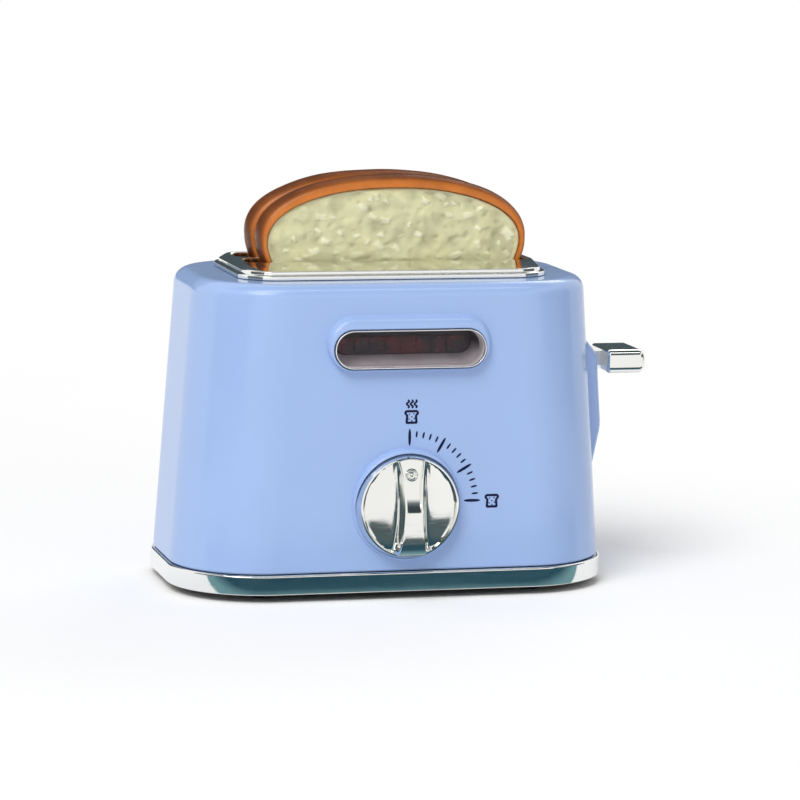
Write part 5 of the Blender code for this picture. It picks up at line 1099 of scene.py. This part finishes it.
def crust_section():
    """Points across the crust: where it starts from the crumb, its depth and its share of the full reach."""
    rim = SLICE_HALF_THICKNESS - CRUST_SUNK
    front = [(out, -rim * share, 0.0) for out, share in CRUST_LIP]
    outside = [(CRUST_START, -rim * x, up ** CRUST_FULLNESS) for x, up in arc((0.0, 0.0), 1.0, 0, 180, 12)]
    return front + outside + [(out, -depth, 0.0) for out, depth, _ in reversed(front)]


def make_crust(node, centre_x, middle, low, high, seed):
    base = slice_outline(low, high)
    away = outward(base)
    bm = bmesh.new()
    side_layer = bm.verts.layers.float.new("side")
    rows = []
    for start, depth, share in crust_section():
        row = []
        for (x, z), out in zip(base, away):
            full = CRUST_SIDE + (CRUST_TOP - CRUST_SIDE) * max(0.0, out.y)
            distance = start + (full - start) * share
            at = Vector((x, depth, z)) / MM
            swell = (noise.noise(at / SWELL_SIZE + Vector((seed, 0.0, 0.0))) - 1) * CRUST_SWELL
            distance += swell * min(1.0, distance / SWELL_FULL)
            vert = bm.verts.new((centre_x + x + out.x * distance, middle + depth, z + out.y * distance))
            # How far out the crust has turned, which darkens it: partly its own browner colour, partly
            # painted shade.
            vert[side_layer] = eased((distance / full - BROWN_FROM) / BROWN_WIDTH)
            row.append(vert)
        rows.append(row)
    for here, there in zip(rows, turned_once(rows)):
        bridge(bm, here, there)
    shape(node + "_skin", bm, CRUST, node_body(node), (node,), sharp=math.radians(60.0))


def make_slices():
    for word, seed in SLICE_SEEDS.items():
        crust_node = "slice_" + word + "_crust"
        low, high = low_high(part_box(crust_node))
        middle = (low + high) / 2
        make_crumb("slice_" + word + "_crumb", middle.x, middle.y, low.z, high.z, seed)
        make_crust(crust_node, middle.x, middle.y, low.z, high.z, seed)


def node_body(node):
    return body_of(frame["nodes"][node])[0]


# Lever knob and feet

ROOT_EDGE = LEVER_EDGE * 0.4   # where the lever knob meets its arm
FOOT_EDGE = 0.7 * MM
FOOT_DISH = 0.25 * MM
DISH_SHARES = (0.55, 0.62)     # of the foot's radius, where its dish is deepest and where it ends


def make_lever_knob():
    """A soft-edged paddle."""
    middle = (LEVER_LOW + LEVER_HIGH) / 2
    half = (LEVER_HIGH - LEVER_LOW) / 2
    stations = arc((LEVER_LOW.x + ROOT_EDGE, ROOT_EDGE), ROOT_EDGE, 180, 270, 8)
    stations.append((middle.x, 0.0))
    stations += arc((LEVER_HIGH.x - LEVER_EDGE, LEVER_EDGE), LEVER_EDGE, 270, 360, 8)
    rings = []
    for x, inset in stations:
        corner = LEVER_EDGE - inset * 0.6
        outline = rounded_rect(half.y - inset, half.z - inset, corner, 10, (middle.y, middle.z))
        rings.append([Vector((x, y, z)) for y, z in outline])
    even_normals(loft("lever_knob_skin", rings, CHROME, "lever_carriage", ("lever_knob",)))


def make_feet():
    for number in range(1, 5):
        node = "foot_" + str(number)
        low, high = low_high(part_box(node))
        centre = (low + high) / 2
        radius = (high.x - low.x) / 2
        dish, dish_end = (radius * share for share in DISH_SHARES)
        profile = [(0.0, low.z + FOOT_DISH), (dish, low.z + FOOT_DISH), (dish_end, low.z)]
        profile += arc((radius - FOOT_EDGE, low.z + FOOT_EDGE), FOOT_EDGE, -90, 0, 6)
        profile += [(radius, high.z), (0.0, high.z)]
        bm = bmesh.new()
        add_turned(bm, profile, Matrix.Translation((centre.x, centre.y, 0.0)), 56)
        shape(node + "_skin", bm, RUBBER, "housing", (node,))


# Return springs

SPRING_WIRE = 0.9 * MM
SPRING_CURLS = 9
SPRING_STEPS = 28          # points in each curl
SPRING_SIDES = 10


def make_return_springs():
    """The two coils under the carriage, built to their nodes' boxes; on the toy they get shorter as the lever
    goes down.
    """
    circle = arc((0.0, 0.0), SPRING_WIRE / 2, 0, 360, SPRING_SIDES)[:-1]
    for joint in frame["record"]["behaviour"]["joints"]:
        for entry in joint.get("deforming_nodes", ()):
            node, fixed_end = entry["node"], entry["fixed_end_z_m"]
            low, high = low_high(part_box(node))
            middle = (low + high) / 2
            radius = (high.x - low.x - SPRING_WIRE) / 2
            count = SPRING_CURLS * SPRING_STEPS
            climb = (high.z - low.z - SPRING_WIRE) / count
            slope = climb * SPRING_STEPS / (2 * math.pi * radius)
            rings = []
            for i in range(count + 1):
                angle = 2 * math.pi * i / SPRING_STEPS
                out = Vector((math.cos(angle), math.sin(angle), 0.0))
                up = out.cross(Vector((-out.y, out.x, slope)).normalized())
                place = Vector((middle.x, middle.y, low.z + SPRING_WIRE / 2 + climb * i)) + out * radius
                rings.append([place + out * a + up * b for a, b in circle])
            spring = loft(node + "_skin", rings, STEEL, "housing", (node,), sharp=math.radians(60.0))
            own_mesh(spring)


# Dial print

PRINT_THICKNESS = 0.06 * MM
PRINT_SUNK = 0.04 * MM
DIAL_RADIUS = 26.8 * MM
DIAL_CENTRE = Vector((0.7 * MM, KNOB_Z + 1.2 * MM))
LONG_MARK = (6.1 * MM, 1.05 * MM)      # length and width
SHORT_MARK = (2.4 * MM, 0.7 * MM)
SHORT_MARK_END = 26.1 * MM
MARK_SHARES = ((0.0, 0.3), (0.18, 0.85), (0.5, 1.0), (0.82, 0.85), (1.0, 0.3))   # of its length and width
MARK_ANGLE = 6
LONG_MARK_ANGLE = 30
PICTURE_HALF = 2.75 * MM
PICTURE_LINE = 0.66 * MM
OUTLINE_LINE = PICTURE_LINE * 1.3
SPOT_RADIUS = PICTURE_LINE * 0.42
SHOULDER_SHARES = (0.62, 0.52, 0.38)   # across, up and radius, of half a picture
FOOT_SHARES = (0.6, -0.72, 0.22)
SPOT_SHARES = ((-0.3, 0.35), (0.3, 0.42), (0.02, 0.0), (-0.34, -0.3), (0.36, -0.22), (0.05, -0.52))
TOASTING_PLACE = Vector((1.3 * MM, KNOB_Z + 32.4 * MM))
PLAIN_PLACE = Vector((31.9 * MM, KNOB_Z + 0.9 * MM))
HEAT_RISE = 4.7 * MM
HEAT_LENGTH = 2.9 * MM
HEAT_PITCH = 1.45 * MM
HEAT_SWAY = 0.5 * MM
HEAT_WAVES = 1.5
HEAT_STEPS = 12


def add_print(bm, outline):
    """A flat shape printed on the front."""
    depths = (FRONT_FACE + PRINT_SUNK, FRONT_FACE - PRINT_THICKNESS)
    add_loft(bm, [[(x, depth, z) for x, z in outline] for depth in depths])


def add_mark(bm, angle, end, length, width):
    """A tapered stroke that points away from the dial's centre, angle in degrees clockwise from the top."""
    along = Vector((math.sin(math.radians(angle)), math.cos(math.radians(angle))))
    across = Vector((along.y, -along.x)) * width / 2
    spine = [(DIAL_CENTRE + along * (end - length + length * place), wide) for place, wide in MARK_SHARES]
    left = [at + across * wide for at, wide in spine]
    right = [at - across * wide for at, wide in spine]
    add_print(bm, left + right[::-1])


def add_bread_picture(bm, centre):
    """A plain slice of bread: a round-shouldered line with a few crumbs in it."""
    def corner(shares, side, start, end, steps):
        across, up, radius = (share * PICTURE_HALF for share in shares)
        return arc((centre.x + side * across, centre.y + up), radius, start, end, steps)

    outline = corner(SHOULDER_SHARES, 1, -70, 90, 6) + corner(SHOULDER_SHARES, -1, 90, 250, 6)
    outline += corner(FOOT_SHARES, -1, 180, 270, 3) + corner(FOOT_SHARES, 1, 270, 360, 3)
    inner = [Vector(point) - away * OUTLINE_LINE for point, away in zip(outline, outward(outline))]
    for piece in zip(outline, turned_once(outline), turned_once(inner), inner):
        add_print(bm, piece)
    for share_a, share_b in SPOT_SHARES:
        spot = (centre.x + share_a * PICTURE_HALF, centre.y + share_b * PICTURE_HALF)
        add_print(bm, arc(spot, SPOT_RADIUS, 0, 300, 5))


def add_heat(bm, centre):
    """Three wavy lines, each the outline of a stroke."""
    for i in (-1, 0, 1):
        points = []
        for k in range(HEAT_STEPS + 1):
            sway = HEAT_SWAY * math.sin(2 * math.pi * k / HEAT_STEPS * HEAT_WAVES)
            points.append(centre + Vector((i * HEAT_PITCH + sway, (k / HEAT_STEPS - 0.5) * HEAT_LENGTH)))
        left, right = [], []
        for before, point, after in zip(points[:1] + points[:-1], points, points[1:] + points[-1:]):
            along = (after - before).normalized()
            across = Vector((-along.y, along.x)) * PICTURE_LINE / 2
            left.append(point + across)
            right.append(point - across)
        add_print(bm, left + right[::-1])


def make_dial_print():
    bm = bmesh.new()
    for angle in range(0, 91, MARK_ANGLE):
        if angle % LONG_MARK_ANGLE == 0:
            add_mark(bm, angle, DIAL_RADIUS, *LONG_MARK)
        else:
            add_mark(bm, angle, SHORT_MARK_END, *SHORT_MARK)
    add_bread_picture(bm, TOASTING_PLACE)
    add_heat(bm, TOASTING_PLACE + Vector((0.0, HEAT_RISE)))
    add_bread_picture(bm, PLAIN_PLACE)
    shape("dial_print", bm, INK, "housing")


def node_finish(name):
    """A CAD node's finish, by its name or by a word in it."""
    if name in NODE_FINISHES:
        return NODE_FINISHES[name]
    for word, finish in WORD_FINISHES.items():
        if word in name:
            return finish
    return PALE


def finish_nodes():
    """Each CAD node gets a finish with nodes."""
    for name, node in frame["nodes"].items():
        node.data.materials.clear()
        node.data.materials.append(node_finish(name))


# Studio

FLOOR_Z = CAD_BOX[0][2]
FLOOR_HALF = 20.0
FLOOR_PATCH = 0.5
CARD_PATCH = 0.4               # in shares of a card
FLOOR_FADE = (0.22, 0.75)      # distances from the toaster
WORLD_LIGHT = 0.48
SUN_LIGHT = 1.55
SUN_ANGLE = math.radians(35.0)
SUN_WAY = Vector((0.45, 0.55, -0.9))
LAMP_AIM = Vector((0.0, 0.0, 0.06))
LAMPS = {   # place, size and power
    "key": (Vector((-0.55, -0.8, 0.9)), (0.45, 0.45), 2.2),
    "rim": (Vector((0.5, 0.7, 0.8)), (0.5, 0.3), 1.5),
}
FLAT, UPRIGHT, SIDEWAYS = (0.0, 0.0, 0.0), (math.pi / 2, 0.0, 0.0), (math.pi / 2, 0.0, math.pi / 2)
FLOOR_CARD_LIFT = 0.5 * MM
FLOOR_CARD_Y = FRONT_FACE - 0.0635
FLOOR_CARD_HALF = 0.0615
SIDE_TONES = ((0.0, 90, 98, 101), (1.0, 98, 106, 108))
CARDS = {   # centre, half sizes, turn, brightness, and tones as share of its length and colour
    "floor_card": ((0.0, FLOOR_CARD_Y, FLOOR_Z + FLOOR_CARD_LIFT), (0.3, FLOOR_CARD_HALF), FLAT, 1.0,
                   ((0.0, 84, 92, 94), (0.45, 76, 88, 92), (0.62, 30, 66, 84), (0.82, 34, 72, 88),
                    (0.94, 112, 152, 160))),
    "top_card": ((0.0, -0.85, 0.95), (0.8, 1.1), FLAT, 1.0,
                 ((0.0, 250, 252, 253), (0.25, 120, 130, 134), (0.45, 58, 68, 72))),
    "highlight_strip": ((0.0, -0.38, 0.9), (0.5, 0.07), FLAT, 3.0,
                        ((0.0, 250, 252, 253), (1.0, 255, 255, 255))),
    "side_card_left": ((-0.75, -0.35, 0.2), (0.4, 0.25), SIDEWAYS, 1.0, SIDE_TONES),
    "side_card_right": ((0.75, -0.35, 0.2), (0.4, 0.25), SIDEWAYS, 1.0, SIDE_TONES),
    "back_card": ((0.0, 0.6, 0.34), (0.5, 0.22), UPRIGHT, 1.0, ((0.0, 72, 84, 90), (1.0, 84, 94, 98))),
}


def looked_at(tree):
    """1 for rays from the camera, from gloss and through clear pieces, else 0."""
    path = tree.nodes.new("ShaderNodeLightPath").outputs
    share = combined("MAXIMUM", path["Is Camera Ray"], path["Is Glossy Ray"])
    return combined("MAXIMUM", share, path["Is Transmission Ray"])


def sheet(name, finish, half):
    bm = bmesh.new()
    bmesh.ops.create_grid(bm, x_segments=2, y_segments=2, size=half)
    return shape(name, bm, finish.material, None)


def make_floor():
    """A white floor that keeps the shadow near the toaster and runs out into plain white."""
    finish = Finish("floor", 1.0)
    patch = finish.noise(FLOOR_PATCH)
    finish.colour(finish.ramp(patch, (0.3, tint(250, 250, 250)), (0.7, tint(253, 253, 253))))
    finish.set({"Specular IOR Level": 0.0})
    away = finish.node("ShaderNodeVectorMath", {0: finish.place}, operation="LENGTH")
    share = finish.ranged(away.outputs["Value"], *FLOOR_FADE)
    share.node.interpolation_type = "SMOOTHSTEP"
    seen = combined("MULTIPLY", share, looked_at(finish.tree))
    white = finish.node("ShaderNodeEmission").outputs["Emission"]
    joined = finish.node("ShaderNodeMixShader", {0: seen, 1: finish.shader.outputs["BSDF"], 2: white})
    finish.surface(joined.outputs["Shader"])
    floor = sheet("floor", finish, FLOOR_HALF)
    floor.location.z = FLOOR_Z


def make_card(name, centre, half, turn, level, tones):
    """A card that only gloss and chrome see, as a photographer sets one up beside shiny things."""
    finish = Finish(name, 0.8)
    full = finish.ramp(finish.along("Y", -1.0, 1.0), *((share, tint(*rgb)) for share, *rgb in tones))
    patch = finish.ranged(finish.noise(CARD_PATCH), 0.3, 0.7, 0.0, 0.2)
    patched = finish.mix(patch, full, shaded(tint(*tones[-1][1:]), 0.9))
    glow = finish.node("ShaderNodeEmission", {"Color": patched, "Strength": level})
    finish.surface(glow.outputs["Emission"])
    finish.material.cycles.emission_sampling = "NONE"
    card = sheet(name, finish, 1.0)
    card.scale = (*half, 1.0)
    card.location = centre
    card.rotation_euler = turn
    card.visible_camera = False
    card.visible_diffuse = False
    card.visible_shadow = False
    card.visible_transmission = False


def place_light(name, kind, power, way):
    """A light that shines along a way."""
    data = bpy.data.lights.new(name, kind)
    data.energy = power
    made = bpy.data.objects.new(name, data)
    bpy.context.scene.collection.objects.link(made)
    made.rotation_euler = way.to_track_quat("-Z", "Y").to_euler()
    return made


def make_lights():
    world = bpy.data.worlds.new("studio")
    bpy.context.scene.world = world
    world.use_nodes = True
    tree = world.node_tree
    level = tree.nodes.new("ShaderNodeMapRange")
    feed(level, {"Value": looked_at(tree), "To Min": WORLD_LIGHT, "To Max": 1.0})
    feed(tree.nodes["Background"], {"Color": (1.0, 1.0, 1.0, 1.0), "Strength": level.outputs["Result"]})
    place_light("sun", "SUN", SUN_LIGHT, SUN_WAY).data.angle = SUN_ANGLE
    for name, (place, size, power) in LAMPS.items():
        lamp = place_light(name, "AREA", power, LAMP_AIM - place)
        lamp.location = place
        lamp.data.shape = "RECTANGLE"
        lamp.data.size, lamp.data.size_y = size


# Camera, fitted to the photograph
CAMERA_PLACE = Vector((-0.34382, -1.36576, 0.26588))
CAMERA_AIM = Vector((0.24761, 0.95840, -0.14198))
CAMERA_ROLL = math.radians(0.854)
CAMERA_LENS = 171.9
SENSOR = 36.0
CLIP_START = 0.05


def make_camera():
    data = bpy.data.cameras.new("camera")
    data.lens = CAMERA_LENS
    data.sensor_width = SENSOR
    data.clip_start = CLIP_START
    made = bpy.data.objects.new("camera", data)
    bpy.context.scene.collection.objects.link(made)
    turn = CAMERA_AIM.to_track_quat("-Z", "Y").to_matrix().to_4x4()
    made.matrix_world = Matrix.Translation(CAMERA_PLACE) @ turn @ Matrix.Rotation(CAMERA_ROLL, 4, "Z")
    bpy.context.scene.camera = made


make_casing()
make_boss()
make_collar()
make_plinth()
make_slot_frame()
make_window()
make_knob()
make_slices()
make_lever_knob()
make_feet()
make_return_springs()
make_dial_print()
finish_nodes()
make_floor()
for card_name, card in CARDS.items():
    make_card(card_name, *card)
make_lights()
make_camera()
bpy.context.scene.view_settings.view_transform = "Standard"

bpy.context.view_layer.update()
